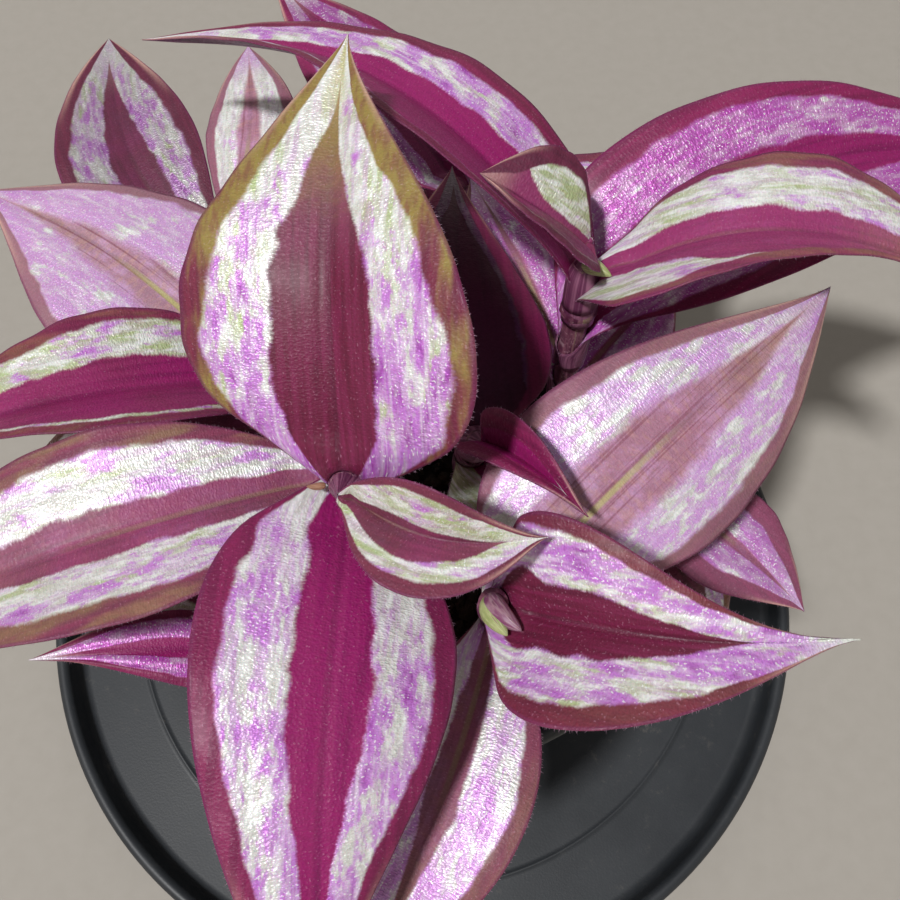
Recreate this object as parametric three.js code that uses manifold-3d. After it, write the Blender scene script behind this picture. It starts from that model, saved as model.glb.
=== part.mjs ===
// A potted tradescantia: striped purple and silver leaves on short shoots that stand in the soil of
// a small round pot, and the wide shallow saucer that the pot stands on. Millimetres, +Z up, with
// the origin at the centre of the saucer's underside.

import * as THREE from 'three';
import { mergeVertices } from 'three/addons/utils/BufferGeometryUtils.js';
import Module from 'manifold-3d';

const wasm = await Module();
wasm.setup();

// Saucer
const SAUCER_RADIUS = 77.5;
const SAUCER_HEIGHT = 8;
const SAUCER_LIP = 2.6;
const SAUCER_FOOT_RADIUS = 70;
const SAUCER_FLOOR = 3;
const SAUCER_SIDES = 44;

// Pot, standing on the saucer's floor
const POT_RIM_RADIUS = 45;
const POT_FOOT_RADIUS = 31;
const POT_HEIGHT = 65;
const POT_WALL = 3;
const POT_COLLAR_HEIGHT = 12;
const POT_COLLAR_STEP = 1.4;
const POT_RECESS = 2;
const POT_SIDES = 32;
const DRAIN_RADIUS = 3.5;
const DRAIN_CIRCLE = 15;
const DRAIN_COUNT = 4;

// Soil and stems
const SOIL_BELOW_RIM = 8;
const SOIL_CROWN = 2.5;
const GAP = 0.3;
const STEM_RADIUS = 1.9;
const STEM_SIDES = 8;
const STEM_STEPS = 14;
const STEM_DEPTH = 11;
const HOLE_RADIUS = STEM_RADIUS + 0.35;
const SHEATH_RADIUS = 2.7;
const SHEATH_HEIGHT = 5;

// Leaves
const BLADE_THICKNESS = 0.7;
const BASE_HALF_WIDTH = 1.7;
const RIPPLES = 2.2;
const RIPPLE_START = 0.1;
const RIPPLE_START_RIGHT = 0.55;
const ROWS = [0, 0.05, 0.14, 0.26, 0.39, 0.52, 0.66, 0.79, 0.9];
const COLUMNS = [-1, -0.5, 0, 0.5, 1];

const POT_BASE = SAUCER_FLOOR;
const POT_TOP = POT_BASE + POT_HEIGHT;
const SOIL_TOP = POT_TOP - SOIL_BELOW_RIM;

// Each shoot grows from foot [x, y] in the soil up to its head [x, y, z].
const SHOOTS = {
  front: { foot: [-4, -6], head: [-5.6, -19, 103.5] },
  right: { foot: [12, -27], head: [10.4, -29, 95] },
  back: { foot: [22, 7], head: [22.3, 11, 102.5] },
  left: { foot: [-17, 2], head: [-21.5, 3.5, 91] },
  far: { foot: [-25, 24], head: [-31, 30, 76] },
  middle: { foot: [8, -4], head: [9.3, -9.4, 94] },
  side: { foot: [27, -6], head: [36, -7, 77] },
  rear: { foot: [4, 27], head: [10, 38, 84] },
  near: { foot: [-12, -22], head: [-17, -33, 75] },
};

// Each leaf: its shoot, how far up it stands (0 to 1), its tip [x, y, z], its width, and its form:
// arch (rise of the midrib over the chord, as a share of the length), fold and cup (degrees that
// each half turns up at the midrib and on the way to the margin), roll (degrees about the chord,
// left side up), sway (side bend), wave (margin ripple), swell and taper (how blunt the base is
// and how sharp the tip). Some halves differ: swellRight, taperRight and curlRight (more cup).
const PLAIN_LEAF = {
  arch: 0.08, fold: 6, cup: -12, curlRight: 0, roll: 0, sway: 0, wave: 0.03, swell: 0.7, taper: 1.25,
};
const LEAVES = {
  leaf_front_upper: { shoot: 'front', at: 0.985, tip: [-5, 24.5, 123.5], width: 32.5, arch: 0.12,
    fold: 16, cup: -18, curlRight: 8, roll: -16, sway: 0.02, swell: 0.6, swellRight: 0.4,
    taperRight: 1.4 },
  leaf_front_lower: { shoot: 'front', at: 0.925, tip: [-7.5, -72, 91.5], width: 27, arch: 0.14,
    fold: 1, cup: -19, curlRight: 12, roll: -14, swell: 0.65, taper: 1.5, swellRight: 0.4,
    taperRight: 1.05 },
  leaf_front_left: { shoot: 'front', at: 0.845, tip: [-68, -34.5, 91.5], width: 24, arch: 0.09,
    fold: 18, cup: -5, curlRight: 8, roll: 6, sway: 0.01, wave: 0.04, swell: 0.75, taper: 1.35,
    taperRight: 1.05 },
  leaf_front_young: { shoot: 'front', at: 1, tip: [15.5, -25.5, 107], width: 14, arch: 0.03,
    fold: 36, cup: 8, roll: 27, sway: -0.13, wave: 0, swell: 1.05, taper: 1.5, swellRight: 1.25,
    taperRight: 1.4 },
  leaf_right_lower: { shoot: 'right', at: 0.97, tip: [46, -35, 104], width: 24, arch: 0.11,
    fold: 34, cup: -16, curlRight: 14, roll: 13, sway: -0.07, swell: 0.3, taper: 1.95,
    swellRight: 0.45, taperRight: 1.55 },
  leaf_right_upper: { shoot: 'right', at: 0.825, tip: [53, 10, 98.5], width: 27.5, fold: 1,
    cup: -15, curlRight: -9, roll: 20, swell: 0.5, taper: 1.3, swellRight: 0.85, taperRight: 1.05 },
  leaf_right_low_side: { shoot: 'right', at: 0.5, tip: [30, -37, 67], width: 15, arch: 0.12 },
  leaf_right_low_front: { shoot: 'right', at: 0.72, tip: [-5, -68, 76.5], width: 19.5, arch: 0.12,
    fold: 7, roll: 5, sway: 0.04, taper: 1.05, taperRight: 1.25 },
  leaf_front_low: { shoot: 'front', at: 0.5, tip: [-6, 26, 76], width: 15, arch: 0.1 },
  leaf_middle_upper: { shoot: 'middle', at: 0.9, tip: [6, 34, 93], width: 23, arch: 0.04, fold: 3,
    cup: -16, curlRight: -6, roll: 4, sway: 0.01, swellRight: 0.45, taperRight: 1.35 },
  leaf_middle_lower: { shoot: 'middle', at: 0.745, tip: [28.5, -23.5, 80.5], width: 23, fold: 13, cup: -8,
    curlRight: 13, roll: -13, sway: -0.02, swell: 0.35, taper: 1.3 },
  leaf_middle_folded: { shoot: 'middle', at: 1, tip: [20.5, -21.5, 101.5], width: 11, arch: 0.09,
    fold: 62, curlRight: -7, roll: 14, sway: 0.03, swell: 0.55, taper: 1.4, swellRight: 0.35,
    taperRight: 1.5 },
  leaf_middle_low: { shoot: 'middle', at: 0.45, tip: [35, -1, 75], width: 14, arch: 0.12 },
  leaf_back_long: { shoot: 'back', at: 0.95, tip: [-38, 50.5, 100], width: 23, arch: 0.13, fold: 20,
    cup: -2, roll: 23, sway: -0.07, taper: 1.4, swellRight: 0.3, taperRight: 1.1 },
  leaf_back_hood: { shoot: 'back', at: 1, tip: [9, 15.5, 112.5], width: 16, arch: 0.1, fold: 37,
    cup: -14, curlRight: -6, roll: 7, sway: 0.04, taper: 1.5, swellRight: 1.25, taperRight: 1.1 },
  leaf_back_right_upper: { shoot: 'back', at: 0.785, tip: [90.5, 30.5, 96], width: 29, arch: 0.12,
    fold: 16, cup: -8, curlRight: 20, roll: 14, sway: 0.11, swell: 0.3, taper: 1.35,
    swellRight: 0.7, taperRight: 1.25 },
  leaf_back_right_lower: { shoot: 'back', at: 0.95, tip: [69, 3, 105], width: 24, arch: 0.18,
    fold: 17, cup: -21, curlRight: 26, roll: -9, sway: 0.05, swell: 0.6, taper: 0.8,
    swellRight: 0.3, taperRight: 2.2 },
  leaf_back_low: { shoot: 'back', at: 0.6, tip: [8.6, 38, 86], width: 20, arch: 0.1 },
  leaf_back_low_right: { shoot: 'back', at: 0.42, tip: [42, 30, 72], width: 17, arch: 0.1 },
  leaf_left_lower: { shoot: 'left', at: 0.935, tip: [-72, -8.5, 87], width: 23.5, arch: 0.15,
    fold: 22, cup: -5, curlRight: 11, roll: 21, sway: 0.05, swell: 0.3, taper: 1.5, taperRight: 1.1 },
  leaf_left_upper: { shoot: 'left', at: 0.78, tip: [-65.5, 37, 84.5], width: 29.5, fold: 5,
    sway: -0.04, swell: 0.85, taper: 1.4, swellRight: 0.65, taperRight: 1.2 },
  leaf_left_young: { shoot: 'left', at: 1, tip: [-18, 18, 97], width: 10, fold: 35 },
  leaf_left_low: { shoot: 'left', at: 0.6, tip: [-62, -8, 66], width: 22, arch: 0.16 },
  leaf_left_back: { shoot: 'left', at: 0.45, tip: [-66, 24, 62], width: 22, arch: 0.18 },
  leaf_far_left: { shoot: 'far', at: 0.86, tip: [-54, 75.5, 78.5], width: 23.5, arch: 0.06,
    fold: 11, cup: -8, curlRight: 5, roll: -2, sway: 0.1, swell: 0.8, taper: 1, swellRight: 1.1,
    taperRight: 1.05 },
  leaf_far_right: { shoot: 'far', at: 0.96, tip: [-28, 68.5, 83], width: 16, arch: 0.13, fold: 0,
    cup: -17, roll: -11, sway: -0.06, swell: 1.1, taper: 0.9, swellRight: 0.85, taperRight: 1.05 },
  leaf_far_back: { shoot: 'far', at: 0.66, tip: [-60, 50, 62], width: 20, arch: 0.16 },
  leaf_side_young: { shoot: 'side', at: 1, tip: [46, -8, 85], width: 9, fold: 35 },
  leaf_side_front: { shoot: 'side', at: 0.96, tip: [53, -25, 74], width: 16, arch: 0.1, fold: 7,
    roll: -2, sway: 0.01, taper: 1.1, taperRight: 1.25 },
  leaf_side_low: { shoot: 'side', at: 0.74, tip: [44, -30, 64], width: 16, arch: 0.2 },
  leaf_side_back: { shoot: 'side', at: 0.84, tip: [55, 9, 68], width: 17, arch: 0.12 },
  leaf_rear_left: { shoot: 'rear', at: 0.96, tip: [-23, 73, 92], width: 20, arch: 0.08 },
  leaf_rear_right: { shoot: 'rear', at: 0.85, tip: [62, 36, 74], width: 24, arch: 0.1 },
  leaf_rear_back: { shoot: 'rear', at: 0.7, tip: [56, 56, 64], width: 19, arch: 0.12 },
  leaf_rear_low: { shoot: 'rear', at: 0.6, tip: [-6, 78, 66], width: 22, arch: 0.14 },
  leaf_rear_young: { shoot: 'rear', at: 1, tip: [14, 46, 92], width: 9, fold: 35 },
  leaf_near_young: { shoot: 'near', at: 1, tip: [-22, -44, 81], width: 9, fold: 35 },
  leaf_near_back: { shoot: 'near', at: 0.66, tip: [-49, -17, 72], width: 17, arch: 0.14 },
  leaf_near_right: { shoot: 'near', at: 0.86, tip: [10, -49, 68], width: 15, arch: 0.16 },
  leaf_near_left: { shoot: 'near', at: 0.955, tip: [-46.5, -32.5, 80], width: 10, arch: 0.09,
    sway: -0.01, swell: 0.4, taper: 1.65, swellRight: 0.7, taperRight: 1.25 },
  leaf_near_front: { shoot: 'near', at: 0.76, tip: [-11, -62, 61], width: 20, arch: 0.14 },
};

const materials = {
  leaf: new THREE.MeshStandardMaterial({ color: '#a85f96', roughness: 0.45, metalness: 0.1 }),
  stem: new THREE.MeshStandardMaterial({ color: '#7a4a5e', roughness: 0.6, metalness: 0 }),
  soil: new THREE.MeshStandardMaterial({ color: '#2c231d', roughness: 0.95, metalness: 0 }),
  pot: new THREE.MeshStandardMaterial({ color: '#303338', roughness: 0.5, metalness: 0 }),
};

const part = new THREE.Group();

function addPiece(name, geometry, material) {
  const mesh = new THREE.Mesh(geometry, material);
  mesh.name = name;
  part.add(mesh);
}

function solidOf(geometry) {
  const bare = geometry.clone();
  bare.deleteAttribute('normal');
  bare.deleteAttribute('uv');
  const merged = mergeVertices(bare, 1e-4);
  return new wasm.Manifold(new wasm.Mesh({
    numProp: 3,
    vertProperties: Float32Array.from(merged.attributes.position.array),
    triVerts: Uint32Array.from(merged.index.array),
  }));
}

function geometryOf(solid) {
  const mesh = solid.getMesh();
  const geometry = new THREE.BufferGeometry();
  geometry.setAttribute('position', new THREE.BufferAttribute(mesh.vertProperties, 3));
  geometry.setIndex(new THREE.BufferAttribute(mesh.triVerts, 1));
  return geometry;
}

function turned(profile, sides) {
  const points = profile.map(([radius, height]) => new THREE.Vector2(radius, height));
  const geometry = new THREE.LatheGeometry(points, sides);
  geometry.rotateX(Math.PI / 2);
  return geometry;
}

function upright(radius, bottom, top, x, y, sides) {
  const geometry = new THREE.CylinderGeometry(radius, radius, top - bottom, sides);
  geometry.rotateX(Math.PI / 2);
  geometry.translate(x, y, (top + bottom) / 2);
  return geometry;
}

// Radius of the pot's tapered outside at a height above its foot
function potRadius(height) {
  const bodyTop = POT_RIM_RADIUS - POT_COLLAR_STEP;
  return POT_FOOT_RADIUS + (bodyTop - POT_FOOT_RADIUS) * height / POT_HEIGHT;
}

function saucer() {
  const inner = SAUCER_RADIUS - SAUCER_LIP;
  const edge = SAUCER_LIP / 2;
  return turned([
    [0, 0],
    [SAUCER_FOOT_RADIUS, 0],
    [SAUCER_RADIUS - 2, SAUCER_HEIGHT * 0.4],
    [SAUCER_RADIUS, SAUCER_HEIGHT - edge],
    [SAUCER_RADIUS - edge * 0.4, SAUCER_HEIGHT - edge * 0.25],
    [SAUCER_RADIUS - edge, SAUCER_HEIGHT],
    [inner + edge * 0.4, SAUCER_HEIGHT - edge * 0.25],
    [inner, SAUCER_HEIGHT - edge],
    [inner - 1.2, SAUCER_FLOOR + 1],
    [inner - 3, SAUCER_FLOOR],
    [0, SAUCER_FLOOR],
  ], SAUCER_SIDES);
}

function pot() {
  const collarFoot = POT_TOP - POT_COLLAR_HEIGHT;
  const wallAt = (z) => potRadius(z - POT_BASE);
  const floor = POT_BASE + POT_RECESS + POT_WALL;
  const shell = turned([
    [0, POT_BASE + POT_RECESS],
    [POT_FOOT_RADIUS - 6, POT_BASE + POT_RECESS],
    [POT_FOOT_RADIUS - 5, POT_BASE],
    [POT_FOOT_RADIUS - 1, POT_BASE],
    [wallAt(POT_BASE + 1), POT_BASE + 1],
    [wallAt(collarFoot), collarFoot],
    [wallAt(collarFoot) + POT_COLLAR_STEP, collarFoot + 0.8],
    [POT_RIM_RADIUS, POT_TOP - 1],
    [POT_RIM_RADIUS - 0.8, POT_TOP],
    [POT_RIM_RADIUS - POT_WALL + 0.4, POT_TOP],
    [POT_RIM_RADIUS - POT_WALL - 0.6, POT_TOP - 1],
    [wallAt(floor) - POT_WALL, floor],
    [0, floor],
  ], POT_SIDES);
  let solid = solidOf(shell);
  for (let i = 0; i < DRAIN_COUNT; i += 1) {
    const angle = (i + 0.5) / DRAIN_COUNT * 2 * Math.PI;
    const x = DRAIN_CIRCLE * Math.cos(angle);
    const y = DRAIN_CIRCLE * Math.sin(angle);
    solid = solid.subtract(solidOf(upright(DRAIN_RADIUS, POT_BASE - 1, floor + 1, x, y, 12)));
  }
  return geometryOf(solid);
}

// Height of the soil's crowned surface at a distance from the pot's axis
function soilHeight(radius) {
  const reach = POT_RIM_RADIUS - POT_WALL;
  return SOIL_TOP + SOIL_CROWN * (1 - (radius / reach) ** 2);
}

function soil() {
  const floor = POT_BASE + POT_RECESS + POT_WALL;
  const top = POT_RIM_RADIUS - POT_WALL - 0.6;
  const low = potRadius(floor - POT_BASE) - POT_WALL;
  const wallAt = (z) => low + (top - low) * (z - floor) / (POT_TOP - 1 - floor) - GAP - 0.15;
  const profile = [[0, floor], [wallAt(floor), floor]];
  for (let i = 4; i >= 0; i -= 1) {
    const radius = wallAt(SOIL_TOP) * i / 4;
    profile.push([radius, i === 4 ? SOIL_TOP : soilHeight(radius)]);
  }
  let solid = solidOf(turned(profile, POT_SIDES));
  for (const { foot: [x, y] } of Object.values(SHOOTS)) {
    const bottom = SOIL_TOP - STEM_DEPTH - GAP;
    solid = solid.subtract(solidOf(upright(HOLE_RADIUS, bottom, POT_TOP, x, y, 12)));
  }
  return geometryOf(solid);
}

// A stem's centre line: straight up out of the soil, then bent over to the shoot's head
function stemPath({ foot, head }) {
  const lift = SOIL_TOP + 3;
  const bottom = new THREE.Vector3(...foot, SOIL_TOP - STEM_DEPTH);
  const start = new THREE.Vector3(...foot, lift);
  const bend = new THREE.Vector3(...foot, lift + (head[2] - lift) * 0.6);
  const path = new THREE.CurvePath();
  path.add(new THREE.LineCurve3(bottom, start));
  path.add(new THREE.QuadraticBezierCurve3(start, bend, new THREE.Vector3(...head)));
  return path;
}

function stem(name) {
  const path = stemPath(SHOOTS[name]);
  const ring = new THREE.Shape();
  for (let i = 0; i < STEM_SIDES; i += 1) {
    const angle = i / STEM_SIDES * 2 * Math.PI;
    const x = STEM_RADIUS * Math.cos(angle);
    const y = STEM_RADIUS * Math.sin(angle);
    if (i === 0) ring.moveTo(x, y);
    else ring.lineTo(x, y);
  }
  ring.closePath();
  const tube = new THREE.ExtrudeGeometry(ring, { steps: STEM_STEPS, extrudePath: path });
  let solid = solidOf(tube);
  for (const leaf of Object.values(LEAVES)) {
    if (leaf.shoot !== name || leaf.at >= 0.999) continue;
    const sheath = turned([
      [0, -SHEATH_HEIGHT],
      [STEM_RADIUS * 0.98, -SHEATH_HEIGHT],
      [SHEATH_RADIUS, -0.6],
      [SHEATH_RADIUS * 0.93, 0],
      [0, 0],
    ], STEM_SIDES);
    const along = path.getTangentAt(leaf.at);
    const turn = new THREE.Quaternion().setFromUnitVectors(new THREE.Vector3(0, 0, 1), along);
    sheath.applyQuaternion(turn);
    sheath.translate(...path.getPointAt(leaf.at).toArray());
    solid = solid.add(solidOf(sheath));
  }
  return geometryOf(solid);
}

// Half the width of a leaf at s, from 0 at its base to 1 at its tip, as a share of its widest half
function outline(s, swell, taper) {
  const widest = swell / (swell + taper);
  const peak = widest ** swell * (1 - widest) ** taper;
  return s ** swell * (1 - s) ** taper / peak;
}

// The leaf's middle surface: gives the point at s along and v across (-1 right, 1 left), and the
// direction that the upper face looks in there.
function leafSurface(leaf) {
  const form = { ...PLAIN_LEAF, ...leaf };
  const path = stemPath(SHOOTS[leaf.shoot]);
  const up = new THREE.Vector3(0, 0, 1);
  const along = path.getTangentAt(leaf.at);
  const tip = new THREE.Vector3(...leaf.tip);
  const base = path.getPointAt(leaf.at);
  const outward = tip.clone().sub(base);
  const bend = up.clone().cross(outward).multiplyScalar(Math.PI * form.sway);
  outward.add(bend);
  outward.addScaledVector(along, -outward.dot(along)).normalize();
  const ends = leaf.at >= 0.999;
  base.addScaledVector(ends ? along : outward, ends ? GAP + 0.7 : SHEATH_RADIUS + GAP + 0.1);
  const chord = tip.clone().sub(base);
  const length = chord.length();
  const ahead = chord.clone().normalize();
  const left = up.clone().cross(ahead).normalize();
  const radians = THREE.MathUtils.degToRad;
  const arch = form.arch * length;
  const sway = form.sway * length;
  const rib = (s) => base.clone()
    .addScaledVector(chord, s)
    .addScaledVector(ahead.clone().cross(left), arch * Math.sin(Math.PI * s ** 0.8))
    .addScaledVector(left, sway * Math.sin(Math.PI * s));

  function pointAt(s, v) {
    const middle = rib(s);
    const forward = rib(Math.min(s + 0.01, 1)).sub(rib(Math.max(s - 0.01, 0))).normalize();
    const side = left.clone().addScaledVector(forward, -left.dot(forward)).normalize();
    side.applyAxisAngle(forward, radians(form.roll));
    const face = forward.clone().cross(side);
    const right = v < 0;
    const swell = right ? form.swellRight ?? form.swell : form.swell;
    const taper = right ? form.taperRight ?? form.taper : form.taper;
    const half = Math.hypot(form.width / 2 * outline(s, swell, taper), BASE_HALF_WIDTH * (1 - s) ** 6);
    const across = Math.abs(v);
    const lean = radians(form.fold + (form.cup + (right ? form.curlRight : 0)) * across / 2);
    const ripple = Math.sin(2 * Math.PI * (RIPPLES * s + (right ? RIPPLE_START_RIGHT : RIPPLE_START)));
    const lift = form.wave * across ** 2 * ripple * Math.sin(Math.PI * s);
    return middle
      .addScaledVector(side, half * v * Math.cos(lean))
      .addScaledVector(face, half * (across * Math.sin(lean) + lift));
  }

  function faceAt(s, v) {
    const step = 0.02;
    const forward = pointAt(Math.min(s + step, 0.98), v).sub(pointAt(Math.max(s - step, 0), v));
    const side = pointAt(s, Math.min(v + step, 1)).sub(pointAt(s, Math.max(v - step, -1)));
    return forward.cross(side).normalize();
  }

  return { pointAt, faceAt };
}

// A blade of even thickness: the same grid of triangles on both faces, closed round the margin and
// the base, and drawn to one point at the tip.
function leafBlade(leaf) {
  const { pointAt, faceAt } = leafSurface(leaf);
  const points = [];
  const triangles = [];
  const wide = COLUMNS.length;
  const faceOf = (row, column, under) => (under ? ROWS.length * wide + 1 : 0) + row * wide + column;
  const tipOf = (under) => faceOf(ROWS.length, 0, under);
  for (const half of [1, -1]) {
    for (const s of ROWS) {
      for (const v of COLUMNS) {
        const crease = v === 0 ? 1 / Math.cos(THREE.MathUtils.degToRad(leaf.fold ?? PLAIN_LEAF.fold)) : 1;
        const offset = half * BLADE_THICKNESS / 2 * crease;
        points.push(pointAt(s, v).addScaledVector(faceAt(s, v), offset));
      }
    }
    points.push(pointAt(1, 0).addScaledVector(faceAt(0.98, 0), half * BLADE_THICKNESS / 2));
  }
  const quad = (a, b, c, d) => triangles.push(a, b, c, a, c, d);
  for (const under of [false, true]) {
    const face = (a, b, c) => (under ? triangles.push(a, c, b) : triangles.push(a, b, c));
    for (let row = 0; row < ROWS.length; row += 1) {
      for (let column = 0; column + 1 < wide; column += 1) {
        const a = faceOf(row, column, under);
        const b = faceOf(row, column + 1, under);
        if (row + 1 === ROWS.length) {
          face(a, tipOf(under), b);
        } else {
          const c = faceOf(row + 1, column, under);
          const d = faceOf(row + 1, column + 1, under);
          face(a, c, d);
          face(a, d, b);
        }
      }
    }
  }
  const last = wide - 1;
  for (let row = 0; row < ROWS.length; row += 1) {
    const ends = row + 1 === ROWS.length;
    const next = (column, under) => (ends ? tipOf(under) : faceOf(row + 1, column, under));
    quad(faceOf(row, 0, false), faceOf(row, 0, true), next(0, true), next(0, false));
    quad(faceOf(row, last, true), faceOf(row, last, false), next(last, false), next(last, true));
  }
  for (let column = 0; column < last; column += 1) {
    quad(faceOf(0, column, true), faceOf(0, column, false),
      faceOf(0, column + 1, false), faceOf(0, column + 1, true));
  }
  const geometry = new THREE.BufferGeometry();
  geometry.setAttribute('position', new THREE.Float32BufferAttribute(
    points.flatMap((point) => point.toArray()), 3));
  geometry.setIndex(triangles);
  return geometry;
}

addPiece('saucer', saucer(), materials.pot);
addPiece('pot', pot(), materials.pot);
addPiece('soil', soil(), materials.soil);
for (const name of Object.keys(SHOOTS)) {
  addPiece(`stem_${name}`, stem(name), materials.stem);
}
for (const [name, leaf] of Object.entries(LEAVES)) {
  addPiece(name, leafBlade(leaf), materials.leaf);
}

export default part;
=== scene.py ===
"""Looks of a potted tradescantia: finer leaves, stems, soil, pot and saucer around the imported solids.

Sizes are in millimetres, as in the part's source, and become metres where a mesh is made.
"""
import math

import bpy
import numpy as np
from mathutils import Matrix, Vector, noise


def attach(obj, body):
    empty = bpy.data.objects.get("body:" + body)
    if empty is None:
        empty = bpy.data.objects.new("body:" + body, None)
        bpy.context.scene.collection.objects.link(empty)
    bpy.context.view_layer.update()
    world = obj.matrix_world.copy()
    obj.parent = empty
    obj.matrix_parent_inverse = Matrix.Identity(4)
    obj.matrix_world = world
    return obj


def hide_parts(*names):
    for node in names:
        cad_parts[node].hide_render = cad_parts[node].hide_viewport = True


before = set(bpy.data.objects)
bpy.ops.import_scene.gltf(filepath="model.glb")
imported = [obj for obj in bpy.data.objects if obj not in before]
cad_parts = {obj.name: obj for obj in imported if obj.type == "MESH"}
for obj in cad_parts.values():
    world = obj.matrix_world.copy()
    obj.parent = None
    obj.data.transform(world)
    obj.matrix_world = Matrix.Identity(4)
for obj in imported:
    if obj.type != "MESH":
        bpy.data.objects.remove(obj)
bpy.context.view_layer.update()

MM = 0.001
BODY = "root"

# Saucer
SAUCER_RADIUS = 77.5
SAUCER_HEIGHT = 8
SAUCER_LIP = 2.6
SAUCER_FOOT_RADIUS = 70
SAUCER_FLOOR = 3

# Pot
POT_RIM_RADIUS = 45
POT_FOOT_RADIUS = 31
POT_HEIGHT = 65
POT_WALL = 3
POT_COLLAR_HEIGHT = 12
POT_COLLAR_STEP = 1.4
POT_RECESS = 2
DRAIN_RADIUS = 3.5
DRAIN_CIRCLE = 15
DRAIN_COUNT = 4

# Soil and stems
SOIL_BELOW_RIM = 8
SOIL_CROWN = 2.5
GAP = 0.3
STEM_RADIUS = 1.9
STEM_DEPTH = 11
SHEATH_RADIUS = 2.7
SHEATH_LENGTH = 7

# Leaves
BLADE_THICKNESS = 0.62
MARGIN_THICKNESS = 0.16
BASE_HALF_WIDTH = 1.7
RIPPLES = 2.2
RIPPLE_START = 0.1
RIPPLE_START_RIGHT = 0.55
CHANNEL_DEPTH = 0.28
CHANNEL_WIDTH = 0.9
PLEATS = 2.5
PLEAT_DEPTH = 0.07
FLUTTERS = 7.3
FLUTTER = 0.012

POT_BASE = SAUCER_FLOOR
POT_TOP = POT_BASE + POT_HEIGHT
SOIL_TOP = POT_TOP - SOIL_BELOW_RIM

# Each shoot: its foot [x, y] in the soil and its head [x, y, z]
SHOOTS = {
    "front": ((-4, -6), (-5.6, -19, 103.5)),
    "right": ((12, -27), (10.4, -29, 95)),
    "back": ((22, 7), (22.3, 11, 102.5)),
    "left": ((-17, 2), (-21.5, 3.5, 91)),
    "far": ((-25, 24), (-31, 30, 76)),
    "middle": ((8, -4), (9.3, -9.4, 94)),
    "side": ((27, -6), (36, -7, 77)),
    "rear": ((4, 27), (10, 38, 84)),
    "near": ((-12, -22), (-17, -33, 75)),
}

# A leaf: how far up its shoot it grows, its tip [x, y, z] and its width, and then its form. Arch and
# sway are shares of its length, fold, cup, curl and roll are degrees, wave is a share of its half
# width, and swell and taper are the powers of its outline towards the base and the tip. The second
# word of its name is its shoot.
PLAIN_LEAF = {
    "arch": 0.08, "fold": 6, "cup": -12, "curl_right": 0, "roll": 0, "sway": 0, "wave": 0.03,
    "swell": 0.7, "taper": 1.25, "swell_right": None, "taper_right": None,
}


def leaf(at, tip, width, **form):
    return {**PLAIN_LEAF, "at": at, "tip": tip, "width": width, **form}


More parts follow.
